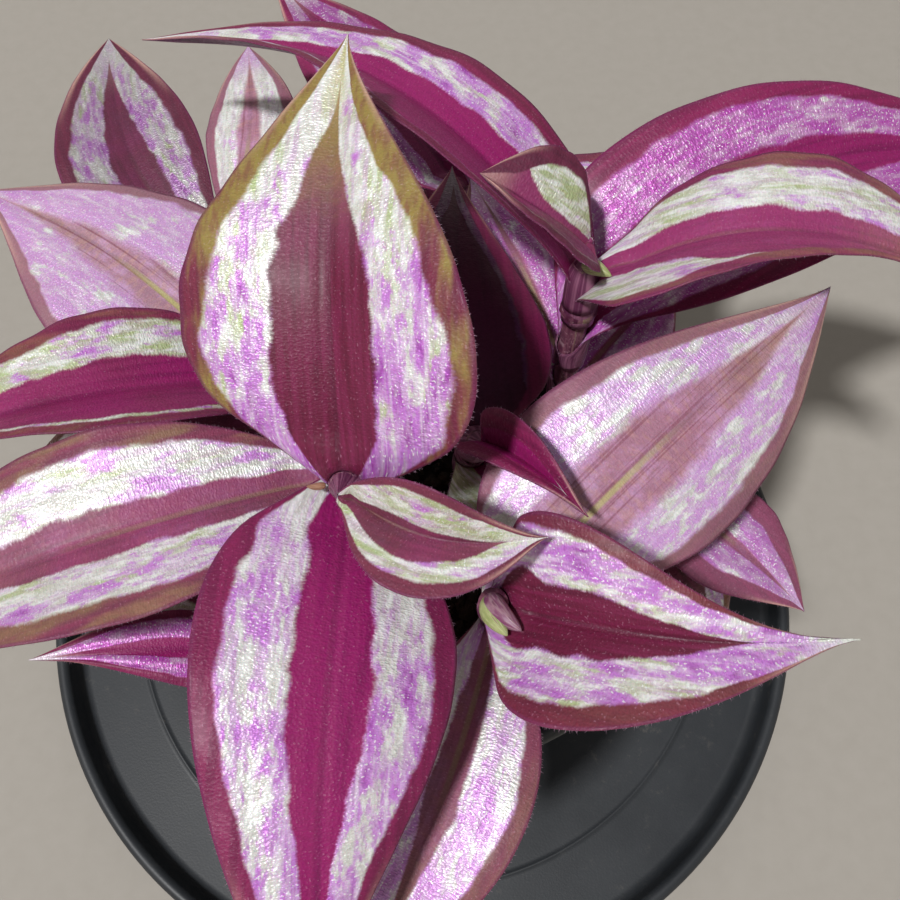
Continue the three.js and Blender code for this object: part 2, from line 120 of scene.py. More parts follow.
LEAVES = {
    "leaf_front_upper": leaf(
        0.985, (-5, 24.5, 123.5), 32.5, arch=0.12, fold=16, cup=-18, curl_right=8, roll=-16, sway=0.02,
        swell=0.6, swell_right=0.4, taper_right=1.4),
    "leaf_front_lower": leaf(
        0.925, (-7.5, -72, 91.5), 27, arch=0.14, fold=1, cup=-19, curl_right=12, roll=-14, swell=0.65,
        taper=1.5, swell_right=0.4, taper_right=1.05),
    "leaf_front_left": leaf(
        0.845, (-68, -34.5, 91.5), 24, arch=0.09, fold=18, cup=-5, curl_right=8, roll=6, sway=0.01,
        wave=0.04, swell=0.75, taper=1.35, taper_right=1.05),
    "leaf_front_young": leaf(
        1, (15.5, -25.5, 107), 14, arch=0.03, fold=36, cup=8, roll=27, sway=-0.13, wave=0, swell=1.05,
        taper=1.5, swell_right=1.25, taper_right=1.4),
    "leaf_right_lower": leaf(
        0.97, (46, -35, 104), 24, arch=0.11, fold=34, cup=-16, curl_right=14, roll=13, sway=-0.07,
        swell=0.3, taper=1.95, swell_right=0.45, taper_right=1.55),
    "leaf_right_upper": leaf(
        0.825, (53, 10, 98.5), 27.5, fold=1, cup=-15, curl_right=-9, roll=20, swell=0.5, taper=1.3,
        swell_right=0.85, taper_right=1.05),
    "leaf_right_low_side": leaf(0.5, (30, -37, 67), 15, arch=0.12),
    "leaf_right_low_front": leaf(
        0.72, (-5, -68, 76.5), 19.5, arch=0.12, fold=7, roll=5, sway=0.04, taper=1.05, taper_right=1.25),
    "leaf_front_low": leaf(0.5, (-6, 26, 76), 15, arch=0.1),
    "leaf_middle_upper": leaf(
        0.9, (6, 34, 93), 23, arch=0.04, fold=3, cup=-16, curl_right=-6, roll=4, sway=0.01,
        swell_right=0.45, taper_right=1.35),
    "leaf_middle_lower": leaf(
        0.745, (28.5, -23.5, 80.5), 23, fold=13, cup=-8, curl_right=13, roll=-13, sway=-0.02, swell=0.35,
        taper=1.3),
    "leaf_middle_folded": leaf(
        1, (20.5, -21.5, 101.5), 11, arch=0.09, fold=62, curl_right=-7, roll=14, sway=0.03, swell=0.55,
        taper=1.4, swell_right=0.35, taper_right=1.5),
    "leaf_middle_low": leaf(0.45, (35, -1, 75), 14, arch=0.12),
    "leaf_back_long": leaf(
        0.95, (-38, 50.5, 100), 23, arch=0.13, fold=20, cup=-2, roll=23, sway=-0.07, taper=1.4,
        swell_right=0.3, taper_right=1.1),
    "leaf_back_hood": leaf(
        1, (9, 15.5, 112.5), 16, arch=0.1, fold=37, cup=-14, curl_right=-6, roll=7, sway=0.04, taper=1.5,
        swell_right=1.25, taper_right=1.1),
    "leaf_back_right_upper": leaf(
        0.785, (90.5, 30.5, 96), 29, arch=0.12, fold=16, cup=-8, curl_right=20, roll=14, sway=0.11,
        swell=0.3, taper=1.35, swell_right=0.7, taper_right=1.25),
    "leaf_back_right_lower": leaf(
        0.95, (69, 3, 105), 24, arch=0.18, fold=17, cup=-21, curl_right=26, roll=-9, sway=0.05, swell=0.6,
        taper=0.8, swell_right=0.3, taper_right=2.2),
    "leaf_back_low": leaf(0.6, (8.6, 38, 86), 20, arch=0.1),
    "leaf_back_low_right": leaf(0.42, (42, 30, 72), 17, arch=0.1),
    "leaf_left_lower": leaf(
        0.935, (-72, -8.5, 87), 23.5, arch=0.15, fold=22, cup=-5, curl_right=11, roll=21, sway=0.05,
        swell=0.3, taper=1.5, taper_right=1.1),
    "leaf_left_upper": leaf(
        0.78, (-65.5, 37, 84.5), 29.5, fold=5, sway=-0.04, swell=0.85, taper=1.4, swell_right=0.65,
        taper_right=1.2),
    "leaf_left_young": leaf(1, (-18, 18, 97), 10, fold=35),
    "leaf_left_low": leaf(0.6, (-62, -8, 66), 22, arch=0.16),
    "leaf_left_back": leaf(0.45, (-66, 24, 62), 22, arch=0.18),
    "leaf_far_left": leaf(
        0.86, (-54, 75.5, 78.5), 23.5, arch=0.06, fold=11, cup=-8, curl_right=5, roll=-2, sway=0.1,
        swell=0.8, taper=1, swell_right=1.1, taper_right=1.05),
    "leaf_far_right": leaf(
        0.96, (-28, 68.5, 83), 16, arch=0.13, fold=0, cup=-17, roll=-11, sway=-0.06, swell=1.1, taper=0.9,
        swell_right=0.85, taper_right=1.05),
    "leaf_far_back": leaf(0.66, (-60, 50, 62), 20, arch=0.16),
    "leaf_side_young": leaf(1, (46, -8, 85), 9, fold=35),
    "leaf_side_front": leaf(
        0.96, (53, -25, 74), 16, arch=0.1, fold=7, roll=-2, sway=0.01, taper=1.1, taper_right=1.25),
    "leaf_side_low": leaf(0.74, (44, -30, 64), 16, arch=0.2),
    "leaf_side_back": leaf(0.84, (55, 9, 68), 17, arch=0.12),
    "leaf_rear_left": leaf(0.96, (-23, 73, 92), 20),
    "leaf_rear_right": leaf(0.85, (62, 36, 74), 24, arch=0.1),
    "leaf_rear_back": leaf(0.7, (56, 56, 64), 19, arch=0.12),
    "leaf_rear_low": leaf(0.6, (-6, 78, 66), 22, arch=0.14),
    "leaf_rear_young": leaf(1, (14, 46, 92), 9, fold=35),
    "leaf_near_young": leaf(1, (-22, -44, 81), 9, fold=35),
    "leaf_near_back": leaf(0.66, (-49, -17, 72), 17, arch=0.14),
    "leaf_near_right": leaf(0.86, (10, -49, 68), 15, arch=0.16),
    "leaf_near_left": leaf(
        0.955, (-46.5, -32.5, 80), 10, arch=0.09, sway=-0.01, swell=0.4, taper=1.65, swell_right=0.7,
        taper_right=1.25),
    "leaf_near_front": leaf(0.76, (-11, -62, 61), 20, arch=0.14),
}
for name, form in LEAVES.items():
    form["shoot"] = name.split("_")[1]

# How a leaf is painted. The middle stripe's half width and the start of the margin band are shares
# of the half blade; lines gives them more closely, in rows of the share along the blade, the
# margin and the stripe on the left, and the stripe and the margin on the right. The rest goes from
# 0 to 1: lilac and green in the silver, magenta in the dark stripes, olive in the margins, pale for
# a washed out leaf, and the last for painted shade, which darkens a leaf that lies in the shadow
# of others and dulls the tone of a few. The lean, from -1 to 1, says whether the lilac gathers at
# the base or at the tip.
PLAIN_PAINT = {
    "centre": 0.3, "margin": 0.78, "lines": None, "lilac": 0.5, "green": 0.4, "magenta": 0.5, "olive": 0.25,
    "pale": 0.1, "painted_shade": 0, "lean": 0,
}
PAINT = {
    "leaf_front_upper": dict(
        lilac=0.52, green=0.5, magenta=0.25, olive=1, pale=0, lean=-0.7, lines=((0, 1, 0.7, 0.5, 1),
        (0.1, 0.9, 0.48, 0.32, 0.88), (0.3, 0.81, 0.36, 0.33, 0.8), (0.5, 0.79, 0.35, 0.31, 0.79),
        (0.68, 0.66, 0.2, 0.13, 0.62), (0.8, 0.6, 0.05, 0.05, 0.52), (1, 0.5, -0.1, -0.1, 0.5))),
    "leaf_front_lower": dict(
        centre=0.3, margin=0.79, lilac=0.7, green=0, magenta=1, olive=0, pale=0, lean=0.6),
    "leaf_front_left": dict(centre=0.27, lilac=0.5, green=0.35, magenta=0.55, olive=0.5, pale=0.2),
    "leaf_front_young": dict(
        lilac=0.4, green=0.75, magenta=0.3, olive=0, pale=0.12, painted_shade=0.1, lines=((0, 1, 0.7, 0.7, 1),
        (0.12, 0.84, 0.25, 0.5, 0.86), (0.45, 0.8, 0.22, 0.5, 0.8), (0.7, 0.78, 0.1, 0.32, 0.76),
        (0.85, 0.76, 0, 0, 0.74), (1, 0.6, -0.1, -0.1, 0.6))),
    "leaf_right_lower": dict(
        lilac=0.74, green=0.5, magenta=0.2, olive=0.1, pale=0, lean=0.1, lines=((0, 1, 0.7, 0.7, 1),
        (0.12, 0.86, 0.36, 0.36, 0.84), (0.3, 0.8, 0.34, 0.34, 0.79), (0.5, 0.8, 0.27, 0.24, 0.8),
        (0.66, 0.82, 0.14, 0.1, 0.83), (0.8, 0.86, -0.06, -0.1, 0.88), (1, 0.95, -0.2, -0.2, 0.97))),
    "leaf_right_upper": dict(centre=0.34, margin=0.82, lilac=0.68, green=0, olive=0.3, pale=0.8),
    "leaf_right_low_front": dict(centre=0.2, lilac=0.7, green=0.25, pale=0.3, lean=0.5),
    "leaf_middle_lower": dict(centre=0.2, margin=0.92, lilac=0.2, green=1, olive=1, pale=0, lean=0.8),
    "leaf_middle_folded": dict(centre=0.7, margin=0.5, magenta=0.9, olive=0, pale=0),
    "leaf_middle_upper": dict(
        centre=0.6, margin=0.68, lilac=1, green=0, magenta=1, olive=0, pale=0, painted_shade=0.9),
    "leaf_back_long": dict(
        lilac=0.66, green=0.4, magenta=0.8, olive=0.05, pale=0, lean=-0.3, lines=((0, 0.85, 0.85, 0.6, 1),
        (0.1, 0.85, 0.85, 0.4, 0.82), (0.3, 0.84, 0.85, 0.36, 0.78), (0.5, 0.82, 0.8, 0.34, 0.76),
        (0.68, 0.78, 0.4, 0.2, 0.74), (0.85, 0.7, 0.05, 0.05, 0.66), (1, 0.6, -0.1, -0.1, 0.6))),
    "leaf_back_hood": dict(
        green=0.8, lilac=0.1, magenta=0.5, painted_shade=0.75, olive=0, lines=((0, 1, 1, 1, 1),
        (0.06, 0.9, 0.9, 0.56, 0.7), (0.16, 0.8, 0.8, 0.3, 0.8), (0.3, 0.8, 0.8, 0.18, 0.82),
        (0.46, 0.8, 0.8, 0.16, 0.78), (0.6, 0.8, 0.8, 0.24, 0.7), (0.7, 0.8, 0.8, 0.42, 0.56),
        (0.8, 0.8, 0.8, 0.8, 0.4), (1, 0.8, 0.8, 0.8, 0.4))),
    "leaf_back_low": dict(centre=0.08, margin=0.8, lilac=1, green=0.1, magenta=0.9, pale=0.5),
    "leaf_back_right_upper": dict(lilac=1, magenta=1, green=0, olive=0, pale=0, painted_shade=0.12),
    "leaf_back_right_lower": dict(
        lilac=0.5, magenta=1, green=0.5, olive=0.35, lean=0.3, lines=((0, 1, 0.6, 0.4, 1),
        (0.08, 0.88, 0.34, 0.26, 0.86), (0.2, 0.82, 0.3, 0.42, 0.84), (0.28, 0.8, 0.28, 0.68, 0.8),
        (0.38, 0.79, 0.28, 0.82, 0.78), (0.75, 0.72, 0.22, 0.8, 0.76), (1, 0.6, 0, 0.8, 0.7))),
    "leaf_back_low_right": dict(centre=0.08, margin=1, lilac=1, green=0, magenta=1, pale=0.2, olive=0),
    "leaf_left_lower": dict(
        lilac=0.3, green=0.7, magenta=0.7, olive=0.3, pale=0, lines=((0, 1, 0.8, 0.5, 1),
        (0.1, 0.86, 0.8, 0.38, 0.84), (0.5, 0.82, 0.76, 0.36, 0.78), (0.75, 0.8, 0.5, 0.2, 0.72),
        (0.9, 0.7, 0.1, 0, 0.6), (1, 0.6, -0.1, -0.1, 0.5))),
    "leaf_left_upper": dict(centre=0.2, margin=0.86, lilac=0.85, green=0.1, olive=0.2, pale=1),
    "leaf_left_back": dict(lilac=1, pale=0.5),
    "leaf_far_left": dict(lilac=0.6, green=0.4, magenta=0.4, olive=0, painted_shade=0.5),
    "leaf_far_right": dict(centre=0.24, lilac=0.3, green=0.2, magenta=0.8, olive=0.1, pale=0.8),
    "leaf_rear_left": dict(lilac=1, magenta=1, green=0, olive=0, pale=0, painted_shade=0.35),
    "leaf_side_front": dict(
        centre=0.12, margin=0.6, lilac=0.9, green=0, pale=0.45, magenta=1, olive=0, painted_shade=0.1),
    "leaf_near_left": dict(lilac=1, magenta=1, pale=0, green=0, olive=0),
}

# Small closed buds beside the nodes: shoot, how far up, how far from the stem's middle, which way
# they look, length and colour
BUDS = {
    "bud_front": ("front", 0.965, 2.3, (-1, -0.22, 0.35), 2.1, "tan"),
    "bud_right": ("right", 0.98, -1, (0.26, -0.9, 0.62), 6.4, "green"),
    "bud_right_scale": ("right", 0.985, -1, (0.58, -0.8, 0.62), 6.6, "mauve"),
    "bud_back": ("back", 0.985, -1, (0.7, -0.8, 0.5), 5.2, "green"),
    "bud_far": ("far", 0.985, -1, (-0.3, 0.3, 1), 8, "green"),
}


# Meshes

def add_object(name, points, faces, materials, slots=None, smooth=True, layers=None):
    """A mesh object from points in millimetres; layers are named vectors for each point."""
    mesh = bpy.data.meshes.new(name)
    mesh.from_pydata((np.asarray(points, dtype=float) * MM).tolist(), [], faces)
    for material in materials:
        mesh.materials.append(material)
    if slots is not None:
        mesh.polygons.foreach_set("material_index", slots)
    mesh.polygons.foreach_set("use_smooth", [smooth] * len(mesh.polygons))
    for layer, values in (layers or {}).items():
        attribute = mesh.attributes.new(layer, "FLOAT_VECTOR", "POINT")
        attribute.data.foreach_set("vector", np.asarray(values, dtype=float).ravel())
    mesh.update()
    piece = bpy.data.objects.new(name, mesh)
    bpy.context.collection.objects.link(piece)
    return piece


def place(piece, slot, *nodes):
    """The piece rides on the one body and stands for CAD nodes, which are hidden; its slot is not used."""
    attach(piece, BODY)
    if nodes:
        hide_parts(*nodes)


def unit(vectors):
    vectors = np.asarray(vectors, dtype=float)
    return vectors / np.linalg.norm(vectors, axis=-1, keepdims=True)


def smooth_step(value):
    value = np.clip(value, 0, 1)
    return value * value * (3 - 2 * value)


def interpolate(where, steps, points):
    """Points at the places where, between points that lie at steps."""
    return np.stack([np.interp(where, steps, column) for column in points.T], axis=-1)


def vectors_of(*parts):
    """A row of three numbers for each point of a grid, from what spreads over the grid."""
    return np.stack(np.broadcast_arrays(*parts), axis=-1).reshape(-1, 3)


def round_angles(sides):
    return np.arange(sides) / sides * 2 * math.pi


def grid_faces(rows, columns, first=0, wrap=False):
    """Quads of a grid of points that lies row after row from index first."""
    faces = []
    for row in range(rows - 1):
        for column in range(columns if wrap else columns - 1):
            beside = (column + 1) % columns
            faces.append((first + row * columns + column, first + row * columns + beside,
                          first + (row + 1) * columns + beside, first + (row + 1) * columns + column))
    return faces


def close_rings(rings, start, end):
    """Points and faces of a closed body: rings of points, with a point before and one after them."""
    rows, sides = rings.shape[:2]
    last = rows * sides + 1
    faces = grid_faces(rows, sides, 1, wrap=True)
    for side in range(sides):
        beside = (side + 1) % sides
        faces.append((0, 1 + beside, 1 + side))
        faces.append((last, last - sides + side, last - sides + beside))
    return np.vstack([[start], rings.reshape(-1, 3), [end]]), faces


def lathe(profile, sides):
    """Points and faces of a profile of (radius, height) turned about Z, from the axis to the axis."""
    angles = round_angles(sides)
    radii, heights = np.array(profile[1:-1], dtype=float).T[:, :, None]
    rings = np.stack(np.broadcast_arrays(radii * np.cos(angles), radii * np.sin(angles), heights), axis=-1)
    return close_rings(rings, (0, 0, profile[0][1]), (0, 0, profile[-1][1]))


def arc(centre, radius, start, end, steps):
    """Points (radius, height) on a rounded corner, angles in degrees from +R towards +Z."""
    return [(centre[0] + radius * math.cos(angle), centre[1] + radius * math.sin(angle))
            for angle in np.radians(np.linspace(start, end, steps))]


def sideways(forward):
    """A direction square to forward and to Y."""
    return unit(np.cross(forward, (0.0, 1.0, 0.0)))


def tube(centres, forward, radii, start, end):
    """A closed tube round its centres, with a row of radii for each, between two end points."""
    angles = round_angles(radii.shape[1])
    forward = np.broadcast_to(forward, centres.shape)
    across = sideways(forward)
    beside = np.cross(forward, across)
    rings = (centres[:, None] + (radii * np.cos(angles))[..., None] * across[:, None]
             + (radii * np.sin(angles))[..., None] * beside[:, None])
    return close_rings(rings, start, end)


def tube_run(wave, heights, length, seed):
    """What the colours of a tube read: a number round it, millimetres up it, and its own number."""
    run = vectors_of(wave[None], heights[:, None], seed)
    return np.vstack([[(0, 0, seed)], run, [(0, length, seed)]])


# Shaders

def srgb(*levels):
    """Linear colour from levels of 0 to 255."""
    linear = [(level / 255 / 12.92) if level <= 10 else ((level / 255 + 0.055) / 1.055) ** 2.4
              for level in levels]
    return (*linear, 1.0)


class Signal:
    """What a node gives out, a number or a colour. Sums and products of it are nodes as well."""

    def __init__(self, shader, socket):
        self.shader = shader
        self.socket = socket

    def __add__(self, other):
        return self.shader.math("ADD", self, other)

    def __sub__(self, other):
        return self.shader.math("SUBTRACT", self, other)

    def __mul__(self, other):
        return self.shader.math("MULTIPLY", self, other)

    def size(self):
        return self.shader.math("ABSOLUTE", self)

    def fade(self, low, high, start=0.0, end=1.0):
        """A smooth step of the signal from low to high, giving start to end."""
        inputs = {"Value": self, "From Min": low, "From Max": high, "To Min": start, "To Max": end}
        return self.shader.node("ShaderNodeMapRange", inputs, interpolation_type="SMOOTHSTEP")

    def under(self, *layers):
        """This colour below layers, each a share and the colour that it brings."""
        colour = self
        for share, layer in layers:
            colour = self.shader.mix(share, colour, layer)
        return colour


class Shader:
    """A material with a Principled surface, and short calls for the nodes that feed it."""

    def __init__(self, name):
        self.material = bpy.data.materials.new(name)
        self.material.use_nodes = True
        self.tree = self.material.node_tree
        self.surface = self.tree.nodes["Principled BSDF"]

    def feed(self, socket, value):
        if isinstance(value, Signal):
            self.tree.links.new(value.socket, socket)
        elif value is not None:
            socket.default_value = value

    def node(self, kind, inputs, output=0, **settings):
        """The signal that a new node gives at one of its outputs."""
        node = self.tree.nodes.new(kind)
        for key, value in settings.items():
            setattr(node, key, value)
        for key, value in inputs.items():
            self.feed(node.inputs[key], value)
        return Signal(self, node.outputs[output])

    def set(self, **values):
        for key, value in values.items():
            self.feed(self.surface.inputs[key.replace("_", " ")], value)

    def attribute(self, name):
        """The three numbers of a named vector that the mesh carries."""
        vector = self.node("ShaderNodeAttribute", {}, "Vector", attribute_name=name)
        split = self.node("ShaderNodeSeparateXYZ", {0: vector}).socket.node
        return [Signal(self, socket) for socket in split.outputs]

    def vector(self, x, y, z):
        return self.node("ShaderNodeCombineXYZ", {0: x, 1: y, 2: z})

    def math(self, operation, a, b=None):
        return self.node("ShaderNodeMath", {0: a, 1: b}, operation=operation)

    def noise(self, vector, scale=1.0, detail=2.0, roughness=0.5):
        inputs = {"Vector": vector, "Scale": scale, "Detail": detail, "Roughness": roughness}
        return self.node("ShaderNodeTexNoise", inputs, "Fac")

    def mix(self, share, a, b, kind="MIX"):
        return self.node("ShaderNodeMix", {0: share, 6: a, 7: b}, 2, data_type="RGBA", blend_type=kind)

    def bump(self, height, strength, distance):
        return self.node("ShaderNodeBump", {"Height": height, "Strength": strength, "Distance": distance})

    def place_here(self):
        """Where a point of the surface is, in the object's own metres."""
        return self.node("ShaderNodeTexCoord", {}, "Object")


MAROON = srgb(104, 24, 56)
MAGENTA = srgb(146, 18, 98)
ROSE = srgb(156, 50, 104)
BROWN = srgb(118, 46, 62)
OLIVE = srgb(150, 130, 70)
STRAW = srgb(196, 190, 120)
SILVER = srgb(220, 219, 213)
GREEN_SILVER = srgb(190, 204, 152)
WHITE = srgb(252, 252, 250)
LILAC = srgb(206, 132, 220)
PALE_LILAC = srgb(232, 190, 236)
ORCHID = srgb(190, 82, 178)
VIOLET = srgb(162, 58, 172)
BEIGE = srgb(214, 172, 158)
PINK = srgb(184, 144, 160)
# Pink of the painted glints on stripes and margins
PAINTED_SPARKLE_PINK = srgb(236, 180, 206)
# Deep purple: the stripes' and margins' own dark streaks, and painted shade on leaves in shadow and in the
# midrib's groove
DEEP_PURPLE_AND_SHADE = srgb(48, 12, 36)
UNDER_DARK = srgb(60, 12, 46)
UNDER_LIGHT = srgb(120, 54, 104)
UNDER_RIB = srgb(150, 90, 120)
EDGE = srgb(112, 44, 86)
SHEATH_DARK = srgb(98, 42, 76)
SHEATH_LIGHT = srgb(150, 94, 122)
HAIR_DARK = srgb(150, 96, 132)
HAIR_LIGHT = srgb(196, 160, 182)
STEM_DARK = srgb(84, 32, 60)
STEM_LIGHT = srgb(140, 84, 104)
STEM_GREEN = srgb(136, 138, 84)
STEM_FLECK = srgb(198, 160, 170)
PEAT_DARK = srgb(22, 15, 11)
PEAT_LIGHT = srgb(66, 48, 36)
BARK = srgb(112, 84, 60)
PLASTIC_DARK = srgb(36, 39, 43)
PLASTIC_LIGHT = srgb(47, 50, 54)
DUST = srgb(128, 120, 110)
FLOOR_DARK = srgb(166, 160, 151)
FLOOR_LIGHT = srgb(174, 168, 160)

# The low, high and streak colour of each kind of bud
BUD_COLOURS = {
    "green": (srgb(150, 160, 100), srgb(186, 190, 138), srgb(124, 60, 88)),
    "tan": (srgb(140, 92, 70), srgb(176, 136, 110), srgb(112, 44, 66)),
    "mauve": (srgb(126, 66, 102), srgb(164, 128, 140), srgb(96, 32, 70)),
}

LEAF_FLESH = {
    "Subsurface_Weight": 0.12, "Subsurface_Radius": (0.004, 0.0012, 0.0018), "Subsurface_Scale": 0.5,
}

# Added to a leaf's own number, these make one texture differ from another of like rates
FIRST = 0
SECOND = 7.3
THIRD = 3.9


class LeafShader(Shader):
    """A leaf's shader: its place on the blade as shares and in millimetres, and the leaf's number."""

    def __init__(self, name):
        super().__init__(name)
        share = self.attribute("blade")
        self.across = share[0].size()
        self.along = share[1]
        self.x, self.y, self.seed = self.attribute("span")
        self.cells = self.texture(FIRST, 1.9, 4.2, detail=1).fade(0.3, 0.7)

    def texture(self, shift, per_mm_across, per_mm_along, **settings):
        """Noise on the blade that is stretched by its two rates per millimetre."""
        where = self.vector(self.x * per_mm_across, self.y * per_mm_along, self.seed + shift)
        return self.noise(where, **settings)


class UpperShader(LeafShader):
    """The shader of a leaf's upper side, with the colours of its three kinds of band."""

    def __init__(self):
        super().__init__("leaf_upper")
        self.stripe_end, self.margin_start, self.lean = self.attribute("stripe")
        self.lilac, self.green, self.magenta = self.attribute("tone")
        # Olive, pale, and painted shade that darkens a leaf lying in the shadow of others
        self.olive, self.pale, self.painted_shade = self.attribute("wash_and_shade")
        self.crumple = self.texture(THIRD, 0.55, 1.3)
        self.streaks = self.texture(FIRST, 1.3, 0.07, detail=3)
        self.drift = self.texture(FIRST, 0.1, 0.13, detail=1)
        self.clouds = self.texture(SECOND, 0.42, 0.1, detail=3)
        self.patches = self.texture(FIRST, 0.4, 0.19, detail=4, roughness=0.66)
        self.grain = self.texture(THIRD, 1.2, 0.4)

    def silver(self):
        """Silver, in part greenish, with white grains, lilac and violet patches, and a light tip."""
        green = (self.clouds + (self.green - 0.5) * 0.5).fade(0.42, 0.66)
        veil = self.texture(SECOND, 0.95, 0.15, detail=3).fade(0.47, 0.66)
        patches = self.patches + (self.lilac - 0.5) * 0.34 + (self.along - 0.5) * self.lean * 0.4
        deep = patches.fade(0.6, 0.76) * self.pale.fade(0, 1, 0.85, 0.2)
        tint = self.mix(deep, LILAC, VIOLET).under(
            (self.pale * 0.7, PALE_LILAC),
            (self.lilac.fade(0.8, 1, 0, 0.75), ORCHID))
        tip_light = self.mix(self.pale.fade(0.2, 0.7), WHITE, LILAC)
        straw = self.along.fade(0.7, 0.95) * self.across.fade(0.5, 0.1) * self.olive
        return self.mix(green, SILVER, GREEN_SILVER).under(
            (self.grain.fade(0.42, 0.66, 0, 0.85), WHITE),
            (veil * self.lilac.fade(0.1, 0.9, 0.1, 0.65), LILAC),
            (patches.fade(0.48, 0.6) * self.grain.fade(0.35, 0.7, 1, 0.65), tint),
            # white lengthwise streaks on the bump's raised lines: the silver's own tone, with painted
            # highlight along them
            (self.streaks.fade(0.52, 0.7, 0, 0.4) * self.lilac.fade(0.7, 1, 1, 0.2), WHITE),
            (self.along.fade(0.76, 0.94, 0, 0.65), tip_light),
            (straw * 0.8, STRAW))

    def purple(self):
        """The middle stripe: maroon to magenta with streaks, pink where pale, olive to an old tip."""
        magenta = (self.magenta + (self.drift - 0.5) * 0.9).fade(0.2, 0.8)
        faded = self.mix(self.patches.fade(0.45, 0.7, 0, 0.6), PINK, PALE_LILAC).under(
            (self.crumple.fade(0.45, 0.7, 0, 0.5), BEIGE))
        rib = self.x.size().fade(0.15, 0.6, 1, 0)
        ageing = (self.along + self.crumple * 0.12).fade(0.56, 0.86)
        veins = self.texture(SECOND, 2.4, 0.03).fade(0.5, 0.64)
        return self.mix(magenta, MAROON, MAGENTA).under(
            (self.streaks.fade(0.4, 0.68, 0, 0.3), ROSE),
            (self.streaks.fade(0.48, 0.3, 0, 0.25), DEEP_PURPLE_AND_SHADE),
            (self.pale * 0.85, faded),
            # painted shade along the midrib's groove
            (rib * 0.2, DEEP_PURPLE_AND_SHADE),
            (self.along.fade(0.38, 0.66) * self.olive * 0.2, PINK),
            (self.olive * ageing * 0.9, OLIVE),
            (self.along.fade(0.72, 0.92, 0, 0.45), BEIGE),
            (veins * self.pale * 0.55, BROWN),
            (rib * self.pale * self.along.fade(0.55, 0.3) * 0.8, STRAW))

    def margin(self):
        """The outer bands: brown to magenta, with olive clouds, and beige near the tip."""
        olive = (self.clouds + (self.along - 0.5) * 0.4).fade(0.34, 0.56)
        return self.mix(self.magenta * 0.6, BROWN, MAGENTA).under(
            (self.streaks.fade(0.35, 0.65, 0, 0.3), DEEP_PURPLE_AND_SHADE),
            (self.olive * olive * self.grain.fade(0.3, 0.6, 0.5, 1), OLIVE),
            (self.pale * 0.5, PINK),
            # painted shade on the margins of a leaf in shadow
            (self.painted_shade * self.magenta.fade(0.2, 0.9, 1, 0), DEEP_PURPLE_AND_SHADE),
            (self.along.fade(0.62, 0.95) * self.across.fade(0.8, 0.96), BEIGE))


def upper_material():
    """Dark middle stripe, two silver bands with lilac clouds, dark margins, painted shade on leaves in
    shadow, and painted glints over all.
    """
    leaf = UpperShader()
    cells = leaf.cells
    steps = leaf.texture(SECOND, 0.25, 0.32, detail=1)
    dots = leaf.texture(SECOND, 4.1, 4.4, detail=0)
    wander = (steps - 0.5) * 0.12 + (leaf.drift - 0.5) * 0.14 + (cells - 0.5) * 0.014
    edge = leaf.across + wander * leaf.across.fade(0, 0.2)
    blur = leaf.pale.fade(0.3, 1, 0.03, 0.09)
    in_stripe = (edge - leaf.stripe_end).fade(blur * -0.8, blur, 1, 0)
    in_margin = (edge - leaf.margin_start).fade(-0.03, 0.03)
    glint = leaf.math("SUBTRACT", 1, leaf.math("MAXIMUM", in_stripe, in_margin))

    sheath = leaf.mix(leaf.streaks.fade(0.4, 0.6), SHEATH_LIGHT, SHEATH_DARK)
    colour = leaf.silver().under(
        (in_stripe, leaf.purple()),
        # painted shade over a leaf that lies in the shadow of others
        (leaf.painted_shade * leaf.green.fade(0.5, 0.8, 0.9, 0.2), DEEP_PURPLE_AND_SHADE),
        (in_margin, leaf.margin()),
        (leaf.across.fade(0.955, 0.985, 0, 0.6), EDGE),
        (leaf.along.fade(0.03, -0.03), sheath))
    shade = (cells - 0.5) * 0.14 + 1
    colour = leaf.mix(1, colour, leaf.vector(shade, shade, shade), "MULTIPLY")
    # Painted glints: white dots on the silver and pink ones on stripes and margins, none on leaves in
    # painted shade
    painted_sparkle = (dots + glint * 0.05).fade(0.72, 0.8) * leaf.painted_shade.fade(0, 0.9, 1, 0)
    painted_sparkle_colour = leaf.mix(glint, PAINTED_SPARKLE_PINK, WHITE)
    colour = colour.under((painted_sparkle * glint.fade(0, 1, 0.16, 0.7), painted_sparkle_colour))

    relief = (cells * glint.fade(0, 1, 0.25, 0.5) + leaf.streaks * 0.4
              + leaf.crumple * glint.fade(0, 1, 0.45, 1) + dots * 0.5)
    rough = cells.fade(0.2, 0.9, 0.46, 0.34) + glint.fade(0, 1, 0.16, 0)
    leaf.set(Base_Color=colour, Roughness=rough, Metallic=glint * 0.2,
             Normal=leaf.bump(relief, 0.8, 0.00012))
    leaf.set(Specular_IOR_Level=0.35, Coat_Weight=0.08, Coat_Roughness=0.3, **LEAF_FLESH)
    return leaf.material


def under_material():
    leaf = LeafShader("leaf_under")
    veins = leaf.texture(FIRST, 2.6, 0.07, detail=3)
    cloud = leaf.texture(FIRST, 0.2, 0.12, detail=3)
    sheath = leaf.mix(veins.fade(0.42, 0.6), SHEATH_DARK, SHEATH_LIGHT)
    light = (veins * 0.5 + cloud * 0.55).fade(0.42, 0.68)
    colour = leaf.mix(light, UNDER_DARK, UNDER_LIGHT).under(
        (leaf.x.size().fade(0.9, 0.2) * 0.35, UNDER_RIB),
        (leaf.across.fade(0.93, 0.99, 0, 0.6), EDGE),
        (leaf.along.fade(0.05, -0.01), sheath))
    leaf.set(Base_Color=colour, Roughness=leaf.cells.fade(0.2, 0.9, 0.52, 0.38),
             Normal=leaf.bump(veins * 0.6 + leaf.cells * 0.3, 0.7, 0.00014), **LEAF_FLESH)
    return leaf.material


